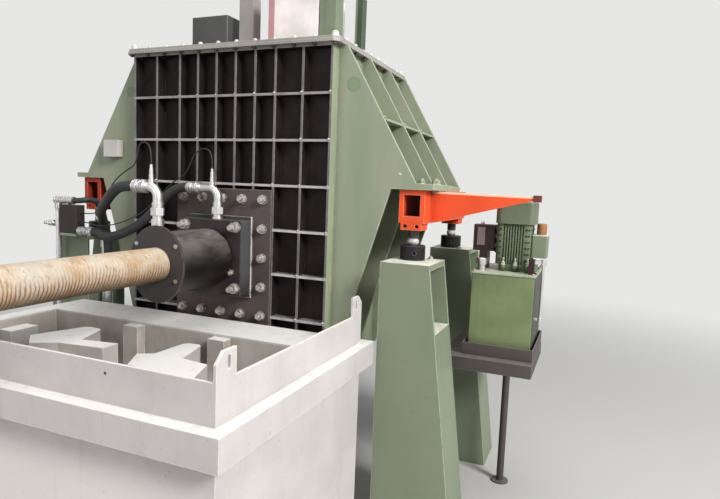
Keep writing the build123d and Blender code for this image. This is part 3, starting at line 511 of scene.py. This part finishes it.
# The box's dust also paints the light on the rim tops.
weather(box, (0.82, 0.80, 0.78), (0.25, 0.205, 0.175), wear=0.7, streaks=0.10, edge=0.007,
        roughness=0.62, dust=(0.74, 0.725, 0.695), dust_amount=1.2)
# The brackets' dust also paints the light on their tops.
painted("bracket_paint", (0.50, 0.475, 0.45), (0.43, 0.405, 0.38), (0.78, 0.76, 0.73),
        (0.24, 0.20, 0.17), wear=0.8, streaks=0.15, edge=0.008, roughness=0.65, blotch=5.0,
        dust=(0.80, 0.78, 0.755), dust_amount=1.4)
print("box paint mixed")

# %% [markdown]
# ## The gussets, the tank and the arm
# The gussets show long upright clouds, a darker plug in the lifting hole and one pale chip. The
# tank is stained, and its right side is painted dark as painted shade. The arm's pale band along
# its sloping top is a painted highlight. The plug and the chip have no depth to speak of, so each
# is drawn as a distance from a point.

# %% Mix the gussets', the tank's and the arm's paints
PLUG_X, PLUG_Z, PLUG_RADIUS = 0.676, 2.068, 0.0325
CHIP_X, CHIP_Z = 0.925, 1.657
gusset = Paint("gusset_paint")
bands = gusset.noise(3.4, 4.0, 0.6, stretch=(1.5, 1.5, 0.32), shift=5.0).step(0.36, 0.66)
gusset.coat((0.308, 0.322, 0.236), (0.245, 0.288, 0.198), bands)
patches = gusset.noise(7.0, 5.0, 0.65, shift=17.0).step(0.45, 0.70)
gusset.over((0.268, 0.306, 0.224), patches * 0.6)
from_plug = away((gusset.from_bar("X").size() - PLUG_X).size(), (gusset.axis("Z") - PLUG_Z).size())
front_plate = gusset.from_bar("Y").step(0.070, 0.068)
plug = from_plug.step(PLUG_RADIUS + 0.001, PLUG_RADIUS - 0.001)
gusset.over((0.195, 0.262, 0.160), plug * front_plate * 0.85)
plug_rim = (from_plug - PLUG_RADIUS).size().step(0.0028, 0.001)
gusset.over((0.13, 0.165, 0.105), plug_rim * front_plate * 0.6)
chip_x = (gusset.from_bar("X") - CHIP_X) * 0.45
chip = away(chip_x, gusset.axis("Z") - CHIP_Z + chip_x * 0.8).step(0.0042, 0.0030)
gusset.over((0.72, 0.74, 0.66), chip * front_plate)
weather(gusset, SAGE_WORN, SAGE_DIRT, wear=0.95, streaks=0.08, edge=0.006, dust=SAGE_DUST_AND_TOP_LIGHT,
        dust_amount=0.5, sheen=0.3)
tank = Paint("tank_paint")
tank.coat((0.188, 0.240, 0.112), (0.145, 0.193, 0.092), tank.clouds(5.0))
stained = tank.noise(3.2, 5.0, 0.62, stretch=(1.0, 1.0, 0.6), shift=15.0).step(0.50, 0.66)
tank.over((0.115, 0.150, 0.072), stained * 0.8)
# Painted shade: the tank's right side is painted dark.
tank.over((0.040, 0.040, 0.032), tank.facing("X").step(0.5, 0.8))
weather(tank, (0.46, 0.50, 0.36), (0.05, 0.055, 0.035), dirt_amount=0.4, streaks=0.22, sheen=0.3)
arm_low, arm_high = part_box("support_arm")
arm = Paint("arm_paint")
arm.coat(ORANGE, ORANGE_SHADE, arm.clouds(3.0))
# Painted highlight: a pale band along the arm's sloping top.
fall = (arm.axis("X") - arm_low[0]) * (0.007 / (arm_high[0] - arm_low[0]))
under_top = arm_high[2] - fall - arm.axis("Z")
arm.over((0.95, 0.60, 0.43), under_top.step(0.0105, 0.0080))
weather(arm, ORANGE_WEAR_AND_HIGHLIGHT, (0.16, 0.03, 0.018), wear=0.4, streaks=0.08, sheen=0.3)
print("mixed:", gusset.name, tank.name, arm.name)

# %% [markdown]
# ## Nodes of several colours, and the small parts
# Some nodes hold several parts in a row, so their colour changes at set places along one axis.
# They could be split into more nodes, but a step between two colours colours each part and leaves
# the CAD alone. The last cell mixes plain coats for single small nodes.


# %% Mix the paints that change along an axis
def part_colours(name, bands, last, worn, dirt, letter="X", **wear):
    """Colours that change at set places along one axis, in metres."""
    paint = Paint(name)
    broad = paint.clouds(6.0)
    paint.coat(last, [part * 0.8 for part in last], broad)
    for limit, first in reversed(bands):
        here = paint.axis(letter).step(limit + 0.0008, limit - 0.0008)
        paint.over(paint.mix(first, [part * 0.82 for part in first], broad), here)
    weather(paint, worn, dirt, **wear)


# The beam is painted darker at its left end: painted shade.
BEAM_END_PAINTED_SHADE = (-900 + LINE.x) / 1000
lid_low, lid_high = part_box("charging_box")
plate_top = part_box("valve_block")[1][2]
PALE_POST_END, SCREW_FOOT = 0.4365, 1.3605
part_colours("beam_paint", [(BEAM_END_PAINTED_SHADE, (0.42, 0.040, 0.016))], ORANGE, ORANGE_WEAR_AND_HIGHLIGHT,
             (0.12, 0.02, 0.014), dirt_amount=1.0, streaks=0.1, sheen=0.3, dust=ORANGE_DUST_AND_TOP_LIGHT,
             dust_amount=0.5)
part_colours("charging_paint", [(lid_low[0] + 0.034, (0.49, 0.25, 0.265))], (0.88, 0.81, 0.78),
             (0.85, 0.83, 0.80), (0.30, 0.25, 0.22), wear=0.4, dirt_amount=0.3, streaks=0.12)
part_colours("post_paint", [(lid_low[0] - 0.05, (0.33, 0.30, 0.285)),
                            (lid_high[0] + 0.098, (0.185, 0.225, 0.150)),
                            (PALE_POST_END, (0.60, 0.60, 0.55))], (0.052, 0.078, 0.045),
             (0.5, 0.5, 0.46), (0.04, 0.04, 0.03), wear=0.4, streaks=0.4)
part_colours("valve_plate", [(plate_top - 0.001, (0.175, 0.145, 0.130))], (0.62, 0.61, 0.60),
             (0.4, 0.38, 0.36), (0.05, 0.04, 0.04), letter="Z", wear=0.5)
part_colours("screw_steel", [(SCREW_FOOT, (0.62, 0.60, 0.59))], (0.030, 0.029, 0.028),
             (0.7, 0.7, 0.7), (0.02, 0.02, 0.02), letter="Z", wear=0.5, roughness=0.3, streaks=0.3)
print("banded paints: beam, charging box, posts, valve plate, screws")

# %% Mix the small parts' paints
painted("white_panel", (0.56, 0.535, 0.515), (0.48, 0.46, 0.44), (0.78, 0.76, 0.74),
        (0.30, 0.25, 0.22), wear=0.4, dirt_amount=0.3, streaks=0.12)
# The pedestals' pale dust also paints the strong light on their tops.
painted("pedestal_paint", (0.213, 0.246, 0.168), (0.186, 0.222, 0.149), SAGE_WORN, SAGE_DIRT,
        wear=0.9, dirt_amount=0.4, streaks=0.08, edge=0.005, blotch=2.2, dust=(0.80, 0.80, 0.71),
        dust_amount=1.0, sheen=0.3)
painted("motor_paint", (0.138, 0.176, 0.108), (0.098, 0.128, 0.078), (0.34, 0.37, 0.26),
        (0.035, 0.046, 0.026), wear=0.3, dirt_amount=0.7, streaks=0.3, blotch=9.0,
        dust=(0.36, 0.39, 0.28), dust_amount=0.7, sheen=0.2)
painted("cowl_paint", (0.128, 0.152, 0.098), (0.088, 0.106, 0.066), (0.40, 0.41, 0.30),
        (0.04, 0.04, 0.028), wear=0.5, dirt_amount=0.6, streaks=0.35, blotch=6.0,
        dust=(0.34, 0.36, 0.26), dust_amount=0.5)
painted("lid_edge_paint", (0.30, 0.33, 0.22), (0.22, 0.25, 0.15), (0.74, 0.77, 0.66),
        (0.06, 0.065, 0.04), wear=1.0, edge=0.006, streaks=0.1, dust=(0.50, 0.53, 0.42),
        dust_amount=0.6)
painted("dark_plate", (0.030, 0.022, 0.021), (0.042, 0.032, 0.030), (0.20, 0.18, 0.17),
        (0.010, 0.008, 0.008), streaks=0.2, roughness=0.48, sheen=0.25)
painted("valve_paint", (0.026, 0.0115, 0.0105), (0.038, 0.018, 0.016), (0.14, 0.09, 0.08),
        (0.010, 0.006, 0.006), streaks=0.3, blotch=18.0, sheen=0.3)
painted("jack_steel", (0.0145, 0.0132, 0.0138), (0.022, 0.020, 0.0205), (0.34, 0.34, 0.35),
        (0.012, 0.012, 0.012), wear=0.9, edge=0.003, streaks=0.2, roughness=0.45, sheen=0.2)
print("materials so far:", len(look))

# %% [markdown]
# ## The cast bar's skin
# A horizontally cast bar leaves the mould in short strokes. Each stroke leaves a ring, and the
# rings wander, fade and double along the bar. The rings could be modelled, but they are less than
# a millimetre high, so a sine wave along the bar, bent by noise, feeds the colour and the bump.

# %% Mix the bar's metal
RING_PITCH = 0.0155
bar = Paint("bar_metal")
wander = bar.noise(3.2, 5.0, 0.6, shift=1.0)
slant = bar.noise(1.1, 2.0, 0.5, stretch=(0.2, 1.0, 0.2), shift=21.0) - 0.5
ripple = bar.noise(17.0, 3.0, 0.6, shift=33.0)
height = bar.from_bar("Z")
along = bar.axis("Y") + wander * 0.06 + ripple * 0.009 + slant * height * 1.2
rings = (along * (2 * math.pi / RING_PITCH)).wave()
broad_ring = rings.step(-0.35, 0.75)
crisp = rings.step(0.82, 0.99)
shown = bar.noise(4.6, 5.0, 0.68, stretch=(1.0, 0.7, 1.0), shift=4.0).step(0.44, 0.60)
patchy = bar.noise(5.2, 5.0, 0.68, shift=14.0).step(0.42, 0.60)
bar.coat((0.570, 0.478, 0.372), (0.485, 0.342, 0.208), patchy)
grey = bar.noise(3.4, 5.0, 0.65, shift=9.0).step(0.46, 0.60)
bar.over((0.515, 0.482, 0.408), grey * 0.85)
flakes = bar.noise(26.0, 5.0, 0.7, stretch=(1.0, 2.6, 1.0), shift=19.0).step(0.56, 0.64)
bar.over((0.25, 0.165, 0.095), flakes * 0.60)
pale_flakes = bar.noise(30.0, 5.0, 0.7, stretch=(1.0, 2.2, 1.0), shift=25.0).step(0.57, 0.64)
bar.over((0.70, 0.64, 0.54), pale_flakes * 0.6)
# Under the axis the skin is browner in patches, and darker towards the bottom.
low_side = height.step(0.050, -0.045)
bar.over((0.42, 0.255, 0.130), low_side * (0.35 + patchy * 0.65) * 0.80)
marks = (shown * (0.10 + low_side * 0.90) + low_side * 0.08).clamp()
bar.over((0.24, 0.105, 0.045), broad_ring * marks * 0.85)
bar.over((0.105, 0.062, 0.030), height.step(-0.005, -0.072) * 0.80)
bar.over((0.11, 0.042, 0.020), (crisp * (marks + 0.04) * 0.7).clamp())
bar.set("Metallic", 0.05).set("Roughness", (0.55 + patchy * 0.15 + crisp * 0.1).clamp())
bar.relief(rings * marks * -0.26 + bar.noise(60.0, 3.0, 0.6) * 0.9, 0.5, 0.0013, 0.002)
bar.keep()
print("bar rings every", RING_PITCH * 1000, "mm; materials in all:", len(look))

# %% [markdown]
# ## Dress the CAD nodes
# Every node keeps its CAD shape. It wears the material of its own slot, or a closer match where
# the photograph shows one. A table of names is enough for that, and a node that isn't in it takes
# its slot's material.

# %% Give each CAD node its material
closer = {
    "side_gussets": "gusset_paint", "support_arm": "arm_paint", "jacking_beams": "beam_paint",
    "furnace_casing": "pocket_paint", "wall_ribs": "rib_paint", "mould_adapter": "adapter_paint",
    "mould_block": "block_paint", "mould_cooler": "cooler_paint", "cooler_disc": "disc_paint",
    "well_brackets": "bracket_paint", "charging_box": "charging_paint", "lid_posts": "post_paint",
    "junction_box": "white_panel", "pedestals": "pedestal_paint", "oil_motor": "motor_paint",
    "terminal_box": "pedestal_paint", "motor_cowl": "cowl_paint", "tank_lid": "lid_edge_paint",
    "valve_block": "valve_paint", "oil_tank": "tank_paint", "valve_fittings": "valve_plate",
    "hose_ferrules": "ridged_steel", "water_couplings": "ridged_steel",
    "jack_bodies": "jack_steel", "jack_screws": "screw_steel", "water_manifold": "dark_plate",
}
for entry in frame["record"]["subparts"]:
    node = frame["nodes"][entry["node"]]
    node.data.materials.clear()
    node.data.materials.append(look[closer.get(entry["node"], entry["material_slot"])])

# %% [markdown]
# ## One shape on many places
# Two Geometry Nodes groups repeat a shape on every point they are given. Both start from the same
# inputs and end with the same nodes, and `spread` runs either of them and keeps the result. The
# nuts, studs and beads could be copied by a loop, one object each, but then every row would be
# dozens of objects. Here each row is one mesh.


# %% Write what the two groups share
def new_group(name, sockets):
    """A group from places to shapes, with its inputs and the rotation that aims a shape."""
    group = bpy.data.node_groups.new(name, "GeometryNodeTree")
    face = group.interface
    for label, kind, start in (("Places", "Geometry", None), *sockets,
                               ("Facing", "Vector", None), ("Finish", "Material", None)):
        socket = face.new_socket(label, in_out="INPUT", socket_type="NodeSocket" + kind)
        if start is not None:
            socket.default_value = start
    face.new_socket("Shapes", in_out="OUTPUT", socket_type="NodeSocketGeometry")
    given = group.nodes.new("NodeGroupInput").outputs
    aligned = add_node(group, "FunctionNodeAlignRotationToVector", {"Vector": given["Facing"]},
                       axis="Z")
    return group, given, aligned.outputs[0]


def close_group(group, given, shape, rotation, scale=None, smooth=False):
    """Stands the shape on every place, makes it real and gives it its finish."""
    made = add_node(group, "GeometryNodeInstanceOnPoints", {
        "Points": given["Places"], "Instance": shape, "Rotation": rotation, "Scale": scale})
    made = add_node(group, "GeometryNodeRealizeInstances", {0: made.outputs[0]})
    if smooth:
        made = add_node(group, "GeometryNodeSetShadeSmooth", {0: made.outputs[0]})
    made = add_node(group, "GeometryNodeSetMaterial", {
        "Geometry": made.outputs[0], "Material": given["Finish"]})
    add_node(group, "NodeGroupOutput", {0: made.outputs[0]})
    print(group.name, "inputs:", len(group.interface.items_tree) - 1)
    return group


def spread(name, places, group, settings):
    """Runs a group on points at the places, and keeps what it makes as one piece."""
    points = bpy.data.meshes.new(name + "_places")
    points.from_pydata([at(*place) for place in places], [], [])
    holder = new_object(name + "_places", points)
    modifier = holder.modifiers.new("spread", "NODES")
    modifier.node_group = group
    for item in group.interface.items_tree:
        if item.in_out == "INPUT" and item.name in settings:
            modifier[item.identifier] = settings[item.name]
    holder.update_tag()
    ready = holder.evaluated_get(bpy.context.evaluated_depsgraph_get())
    mesh = bpy.data.meshes.new_from_object(ready)
    mesh.name = name
    bpy.data.objects.remove(holder)
    piece = new_object(name, mesh)
    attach(piece, "root")


print("group parts ready")

# %% [markdown]
# ## Bolts, nuts and washers
# The first group stands a washer, a hexagon nut and a stud on every point, each turned by its own
# chance angle. The real nuts stand on washers with the end of the stud showing. Ready-made nuts
# with threads would cost thousands of faces that nobody sees, so three plain prisms make one
# bolt.

# %% Build the bolt group
WASHER_THICKNESS = 0.003
MOST_SPIN = 1.05


def bolt_group():
    group, given, aligned = new_group("bolts", (
        ("Nut radius", "Float", 0.02), ("Nut height", "Float", 0.018),
        ("Washer radius", "Float", 0.024), ("Stud radius", "Float", 0.011),
        ("Stud height", "Float", 0.028), ("Seed", "Int", 7)))
    joined = add_node(group, "GeometryNodeJoinGeometry")
    for sides, radius, depth in ((20, "Washer radius", WASHER_THICKNESS),
                                 (6, "Nut radius", given["Nut height"]),
                                 (14, "Stud radius", given["Stud height"])):
        shape = add_node(group, "GeometryNodeMeshCylinder", {
            "Vertices": sides, "Radius": given[radius], "Depth": depth})
        half = add_node(group, "ShaderNodeMath", {0: depth, 1: 0.5}, operation="MULTIPLY")
        shift = add_node(group, "ShaderNodeCombineXYZ", {2: half.outputs[0]})
        moved = add_node(group, "GeometryNodeTransform", {
            "Geometry": shape.outputs["Mesh"], "Translation": shift.outputs[0]})
        group.links.new(moved.outputs[0], joined.inputs[0])
    chance = add_node(group, "FunctionNodeRandomValue", {"Seed": given["Seed"], 3: MOST_SPIN},
                      data_type="FLOAT")
    spin = add_node(group, "FunctionNodeAxisAngleToRotation", {
        "Axis": (0, 0, 1), "Angle": chance.outputs[1]})
    rotation = add_node(group, "FunctionNodeRotateRotation", {0: aligned, 1: spin.outputs[0]},
                        rotation_space="LOCAL")
    return close_group(group, given, joined.outputs[0], rotation.outputs[0])


BOLTS = bolt_group()


def bolts(name, places, facing, material, nut, height, washer, stud, reach, seed=7):
    """Bolts of one size at several places; sizes in millimetres, nut across its flats."""
    spread(name, places, BOLTS, {
        "Nut radius": nut / 2000 / math.cos(math.pi / 6), "Nut height": height / 1000,
        "Washer radius": washer / 2000, "Stud radius": stud / 2000, "Stud height": reach / 1000,
        "Facing": facing, "Seed": seed, "Finish": look[material]})


# %% [markdown]
# ## Turned shapes on points
# The second group stands any turned shape, such as a cap nut or a weld bead, on the points, with
# a little chance in its size. Such shapes are round about their axis, so a short list of radius
# and height pairs describes each, as a lathe drawing does. They could be spheres and cylinders,
# but a turned outline shows the collar of a nut and the foot of a weld.

# %% Build the group for turned shapes
SIDES = 16


def turned(name, profile):
    """A shape turned about its axis from radius and height pairs in millimetres."""
    shape = bmesh.new()
    angles = [2 * math.pi * side / SIDES for side in range(SIDES)]
    rings = []
    for radius, height in profile:
        if radius == 0:
            rings.append([shape.verts.new((0, 0, height / 1000))])
            continue
        rings.append([shape.verts.new((radius / 1000 * math.cos(a), radius / 1000 * math.sin(a),
                                       height / 1000)) for a in angles])
    for low, high in zip(rings, rings[1:]):
        for side in range(SIDES):
            after = (side + 1) % SIDES
            top = (high[0],) if len(high) == 1 else (high[after], high[side])
            shape.faces.new((low[side], low[after], *top))
    shape.faces.new(list(reversed(rings[0])))
    mesh = bpy.data.meshes.new(name)
    shape.to_mesh(mesh)
    shape.free()
    return mesh


def shape_group():
    group, given, aligned = new_group("turned_shapes", (
        ("Shape", "Object", None), ("Least size", "Float", 0.95),
        ("Most size", "Float", 1.05), ("Seed", "Int", 4)))
    shape = add_node(group, "GeometryNodeObjectInfo", {"Object": given["Shape"]})
    chance = add_node(group, "FunctionNodeRandomValue", {
        2: given["Least size"], 3: given["Most size"], "Seed": given["Seed"]}, data_type="FLOAT")
    return close_group(group, given, shape.outputs["Geometry"], aligned, chance.outputs[1],
                       smooth=True)


SHAPES = shape_group()


def stand(name, profile, places, facing, material, least, most, seed):
    """Stands one turned shape on every place, as a single piece."""
    shape = new_object(name + "_shape", turned(name + "_shape", profile))
    spread(name, places, SHAPES, {
        "Shape": shape, "Facing": facing, "Least size": least, "Most size": most, "Seed": seed,
        "Finish": look[material]})
    bpy.data.objects.remove(shape)


CAP_NUT = [(15, 0), (15, 2.5), (10.5, 2.7), (10.5, 10), (9.5, 13.5), (6.5, 16.5), (3, 17.8),
           (0, 18)]
BEAD = [(6.5, -1), (6.0, 1.6), (4.2, 3.4), (1.8, 4.3), (0, 4.5)]
LUG = [(13, -32), (13, -1), (11.5, 0), (0, 0.2)]
print("turned shapes: cap nut, weld bead, foot lug")

# %% [markdown]
# ## Bolts of the mould
# The nuts of the wall flange are smaller than those of the block, whose studs stand out further.
# Their places are typed rather than read from the CAD, because the bolts sit on an even grid
# about the bar's axis.

# %% Bolt the mould flange, the block and the disc
FORWARD = (0, -1, 0)
MOULD_FLANGE_FACE, BLOCK_FACE, DISC_FACE = -12.0, -110.0, -493.0
flange_places = [(column * 120.0, MOULD_FLANGE_FACE, BAR_Z + row * 146.5)
                 for column in range(-2, 3) for row in range(-2, 3)
                 if 2 in (abs(column), abs(row))]
bolts("flange_bolts", flange_places, FORWARD, "bolt_steel",
      nut=38, height=22, washer=50, stud=22, reach=38)
block_places = [(side * 150, BLOCK_FACE, z) for side in (1, -1) for z in (1370, 1068)]
bolts("block_bolts", block_places, FORWARD, "bolt_steel",
      nut=42, height=30, washer=54, stud=26, reach=58, seed=3)
small_places = [(side * 125, BLOCK_FACE, 1147) for side in (1, -1)]
bolts("block_small_bolts", small_places, FORWARD, "bolt_steel",
      nut=26, height=18, washer=34, stud=14, reach=26, seed=9)
disc_places = [(side * 108, DISC_FACE, z) for side in (1, -1) for z in (1302, 1150)]
bolts("disc_bolts", disc_places, FORWARD, "bolt_steel",
      nut=15, height=7, washer=20, stud=9, reach=9, seed=2)
print("flange bolts:", len(flange_places))

# %% [markdown]
# ## The lid's cap nuts
# Pale cap nuts stand along the lid's edge, and the corners carry larger ones. Under the flange
# are hexagon nuts, a little further out and nearer the front. The pale ones are worn bare and the
# hidden ones are painted, so the two rows have different finishes.

# %% Bolt the lid down
UP, DOWN = (0, 0, 1), (0, 0, -1)
LID_TOP = 2276.0
lid_places = [(-490 + 109 * step, 8, LID_TOP) for step in range(10)]
lid_places += [(side * 606, 118 + 105 * step, LID_TOP) for side in (1, -1) for step in range(9)]
lid_places += [(-545 + 109 * step, 962, LID_TOP) for step in range(11)]
stand("lid_cap_nuts", CAP_NUT, lid_places, UP, "cap_steel", 0.75, 1.15, 11)
corner_places = [(side * 596, y, LID_TOP) for side in (1, -1) for y in (10, 950)]
stand("lid_corner_nuts", CAP_NUT, corner_places, UP, "cap_steel", 1.6, 1.75, 2)
UNDER_SPREAD, UNDER_FRONT = 1.012, 14
under = [(x * UNDER_SPREAD, y - UNDER_FRONT if y < 100 else y, CASING_TOP)
         for x, y, _ in lid_places + corner_places]
bolts("lid_nuts", under, DOWN, "nut_paint",
      nut=18, height=9, washer=24, stud=9, reach=12, seed=5)
print("lid nuts:", len(under))

# %% [markdown]
# ## Weld beads
# Each crossing of the ribs carries a small bright bead in its corner, and each gusset shelf has
# one at its outer end. A bead all along every rib would be thousands of faces for a line that the
# photograph hardly shows. A turned bead at each corner, with chance in its size, gives the glints
# that it does show.

# %% Lay the weld beads
WIDE, NARROW = 152.0, 116.0
column_steps = (WIDE,) * 2 + (NARROW,) * 5 + (WIDE,) * 2
stretch = (2 * CASING_HALF - RIB) / sum(column_steps)
columns = [RIB / 2 - CASING_HALF]
for step in column_steps:
    columns.append(columns[-1] + step * stretch)
rows = [CASING_BOTTOM + RIB / 2 + number * ROW_PITCH for number in range(8)]
beads = [(x - RIB / 2, 3, z + RIB / 2) for x in columns[1:] for z in rows[1:-1]]
stand("rib_weld_beads", BEAD, beads, (-0.5, -0.5, 0.7), "bolt_steel", 0.75, 1.5, 6)
shelf_beads = [(side * (CASING_HALF + 233), 83 + 293 * bay, 1916)
               for side in (1, -1) for bay in range(3)]
stand("shelf_weld_beads", BEAD, shelf_beads, UP, "sage_paint", 1.6, 2.0, 8)
print("weld beads:", len(beads) + len(shelf_beads))

# %% [markdown]
# ## Bolts of the ledges and the oil unit
# The ledges and the pedestals are bolted down, and the motor stands on three foot lugs. Small
# screws hold the motor's finned sides, and eight bolts hold the tank's lid. All of them come from
# the same two groups, with only their sizes and seeds changed.

# %% Bolt the ledges, the motor and the tank
RIGHT = (1, 0, 0)
MOTOR_X, MOTOR_Y, MOTOR_HALF = 1402.0, 520.0, 84.0
tank_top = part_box("tank_lid")[1][2] * 1000
flange_top = tank_top + 32
ledge_places = [(side * x, y, 1615) for side in (1, -1) for x, y in ((978, 232), (1060, 196))]
bolts("ledge_bolts", ledge_places, UP, "sage_paint",
      nut=36, height=20, washer=46, stud=20, reach=28, seed=13)
screw_heights = [flange_top + 26 + 30 * row for row in range(6)]
pad_places = [(MOTOR_X + side * x, MOTOR_Y - MOTOR_HALF, z)
              for side in (1, -1) for x in (62, 76) for z in screw_heights]
bolts("motor_pad_bolts", pad_places, FORWARD, "dark_plate",
      nut=7, height=3, washer=8, stud=4, reach=4, seed=21)
side_places = [(MOTOR_X + MOTOR_HALF, MOTOR_Y + side * 64, z)
               for side in (1, -1) for z in screw_heights]
bolts("motor_side_bolts", side_places, RIGHT, "dark_plate",
      nut=7, height=3, washer=8, stud=4, reach=4, seed=22)
pedestal_places = [(side * 1052, y, 1258) for side in (1, -1) for y in (200, 814)]
bolts("pedestal_top_bolts", pedestal_places, UP, "sage_paint",
      nut=20, height=10, washer=26, stud=10, reach=16, seed=31)
foot_places = [(1500, y, flange_top) for y in (450, 520, 590)]
bolts("motor_foot_bolts", foot_places, UP, "lid_edge_paint",
      nut=17, height=11, washer=22, stud=9, reach=17, seed=23)
lug_places = [(x, 425, flange_top) for x in (1362, 1420, 1480)]
stand("motor_lugs", LUG, lug_places, UP, "motor_paint", 1.0, 1.0, 3)
bolts("motor_lug_bolts", lug_places, UP, "lid_edge_paint",
      nut=17, height=14, washer=22, stud=10, reach=36, seed=25)
tank_places = [(x, y, tank_top) for x in (1240, 1519) for y in (330, 400, 620, 708)]
bolts("tank_lid_bolts", tank_places, UP, "bolt_steel",
      nut=12, height=7, washer=16, stud=7, reach=10, seed=24)
print("motor screws:", len(pad_places + side_places), "tank bolts:", len(tank_places))

# %% [markdown]
# ## The hoses and cables
# Each is one smooth line through the same route points as its CAD tube. A tube that follows runs
# and arcs would look like bent wire. A curve with few points bends evenly, as a filled hose does,
# and a round bevel gives it its thickness.


# %% Lay the hoses
def hose(name, route, diameter, exit_point):
    """A hose in place of the CAD tube named exit_point; route and diameter in millimetres."""
    curve = bpy.data.curves.new(name, "CURVE")
    curve.dimensions = "3D"
    curve.bevel_depth = diameter / 2000
    curve.bevel_resolution = 5
    curve.resolution_u = 10
    curve.use_fill_caps = True
    line = curve.splines.new("NURBS")
    line.points.add(len(route) - 1)
    for point, place in zip(line.points, route):
        point.co = (*at(*place), 1.0)
    line.order_u = 3
    line.use_endpoint_u = True
    piece = new_object(name, curve)
    curve.materials.append(look["rubber"])
    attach(piece, "root")
    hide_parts(exit_point)


hose("front_hose_line", [
    (-160, -453, 1555), (-238, -453, 1555), (-338, -408, 1520), (-470, -322, 1466),
    (-600, -228, 1418), (-698, -128, 1382), (-768, -44, 1326), (-800, 14, 1232),
    (-800, 14, 1120)], 48, "front_hose")
hose("rear_hose_line", [
    (-167, -76, 1555), (-233, -76, 1555), (-312, -92, 1490), (-380, -112, 1400),
    (-472, -136, 1326), (-572, -150, 1282), (-662, -138, 1270), (-724, -104, 1286),
    (-784, -104, 1286)], 48, "rear_hose")
hose("bypass_line", [
    (-928, -104, 1454), (-882, -104, 1454), (-860, -58, 1466), (-851, 0, 1442), (-850, 27, 1376),
    (-850, 30, 1302), (-850, 30, 1230)], 32, "bypass_hose")
hose("front_wire_line", [
    (-63, -453, 1652), (-63, -453, 1700), (-80, -453, 1748), (-130, -450, 1750),
    (-150, -444, 1702), (-170, -436, 1650), (-232, -430, 1622), (-318, -392, 1592),
    (-420, -326, 1556), (-530, -250, 1512), (-630, -180, 1462), (-710, -130, 1414),
    (-766, -108, 1392), (-826, -104, 1386), (-884, -104, 1386)], 6, "front_probe_wire")
hose("rear_wire_line", [
    (-19, -76, 1652), (-19, -76, 1700), (-36, -76, 1746), (-86, -76, 1754), (-132, -74, 1722),
    (-162, -72, 1664), (-196, -66, 1616), (-262, -52, 1592), (-340, -44, 1540), (-410, -48, 1468),
    (-480, -72, 1404), (-560, -104, 1358), (-650, -132, 1330), (-724, -136, 1326),
    (-778, -122, 1334), (-832, -112, 1338), (-884, -112, 1338)], 6, "rear_probe_wire")
print("hoses and wires laid: 5")

# %% [markdown]
# ## Floor and light
# A plain pale floor and three soft lamps. The strongest stands high on the right, as in the
# works, so the faces on the right and the tops are the brightest. Camera, mirror and glass rays
# see a pale world, and the object is lit by a dimmer one. Stronger lamps would whiten the floor
# as well, but they would bleach the water box, so the pale background is only what those rays
# see.

# %% Set the floor and the lights
FLOOR_COLOUR, PALE = (0.52, 0.515, 0.505), (0.80, 0.80, 0.79)
FLOOR_HALF = 30
CLEAR_RAYS = ("Is Glossy Ray", "Is Transmission Ray")
floor_mesh = bpy.data.meshes.new("floor")
floor_mesh.from_pydata([(x * FLOOR_HALF, y * FLOOR_HALF, 0)
                        for x, y in ((-1, -1), (1, -1), (1, 1), (-1, 1))], [], [(0, 1, 2, 3)])
floor = new_object("floor", floor_mesh)
floor_paint = Paint("floor")
floor_paint.set("Base Color", opaque(FLOOR_COLOUR)).set("Roughness", 0.9)
far = floor_paint.add("ShaderNodeVectorMath", {0: floor_paint.place}, out="Value",
                      operation="LENGTH")
seen = floor_paint.add("ShaderNodeLightPath", out="Is Camera Ray")
for kind in CLEAR_RAYS:
    seen = seen.biggest(floor_paint.add("ShaderNodeLightPath", out=kind))
glow = floor_paint.add("ShaderNodeEmission", {"Color": opaque(PALE), "Strength": 1.0})
surface = Value(floor_paint, floor_paint.shader.outputs[0])
blended = floor_paint.add("ShaderNodeMixShader", {0: far.step(2.6, 8.0) * seen, 1: surface,
                                                  2: glow})
floor_paint.tree.links.new(blended.socket, floor_paint.tree.nodes["Material Output"].inputs[0])
floor_mesh.materials.append(floor_paint.material)


def lamp(name, place, target, energy, size, colour=(1, 1, 1)):
    """A square soft lamp that looks at a target; metres and watts."""
    data = bpy.data.lights.new(name, "AREA")
    data.energy, data.size, data.color = energy, size, colour
    light = new_object(name, data)
    light.location = place
    light.rotation_euler = (Vector(target) - Vector(place)).to_track_quat("-Z", "Y").to_euler()


lamp("key", (8.0, -3.4, 6.2), (0, -0.2, 1.2), 1090, 2.6, (1.0, 0.99, 0.97))
lamp("fill", (-2.0, -7.5, 3.4), (0.2, 0, 1.2), 90, 4.0, (0.98, 0.98, 1.0))
lamp("top", (0.8, -0.8, 7.0), (0, -0.2, 1), 145, 4.5)
world = bpy.data.worlds.new("studio")
bpy.context.scene.world = world
world.use_nodes = True
sky = world.node_tree
dim = sky.nodes["Background"]
dim.inputs[0].default_value = (0.86, 0.87, 0.88, 1)
dim.inputs[1].default_value = 0.38
pale = add_node(sky, "ShaderNodeBackground", {0: opaque(PALE)})
rays = add_node(sky, "ShaderNodeLightPath").outputs
clear = rays["Is Camera Ray"]
for kind in CLEAR_RAYS:
    clear = add_node(sky, "ShaderNodeMath", {0: clear, 1: rays[kind]},
                     operation="MAXIMUM").outputs[0]
blend = add_node(sky, "ShaderNodeMixShader", {0: clear, 1: dim.outputs[0], 2: pale.outputs[0]})
sky.links.new(blend.outputs[0], sky.nodes["World Output"].inputs[0])
bpy.context.scene.view_settings.view_transform = "Standard"
print("lamps:", len(bpy.data.lights))
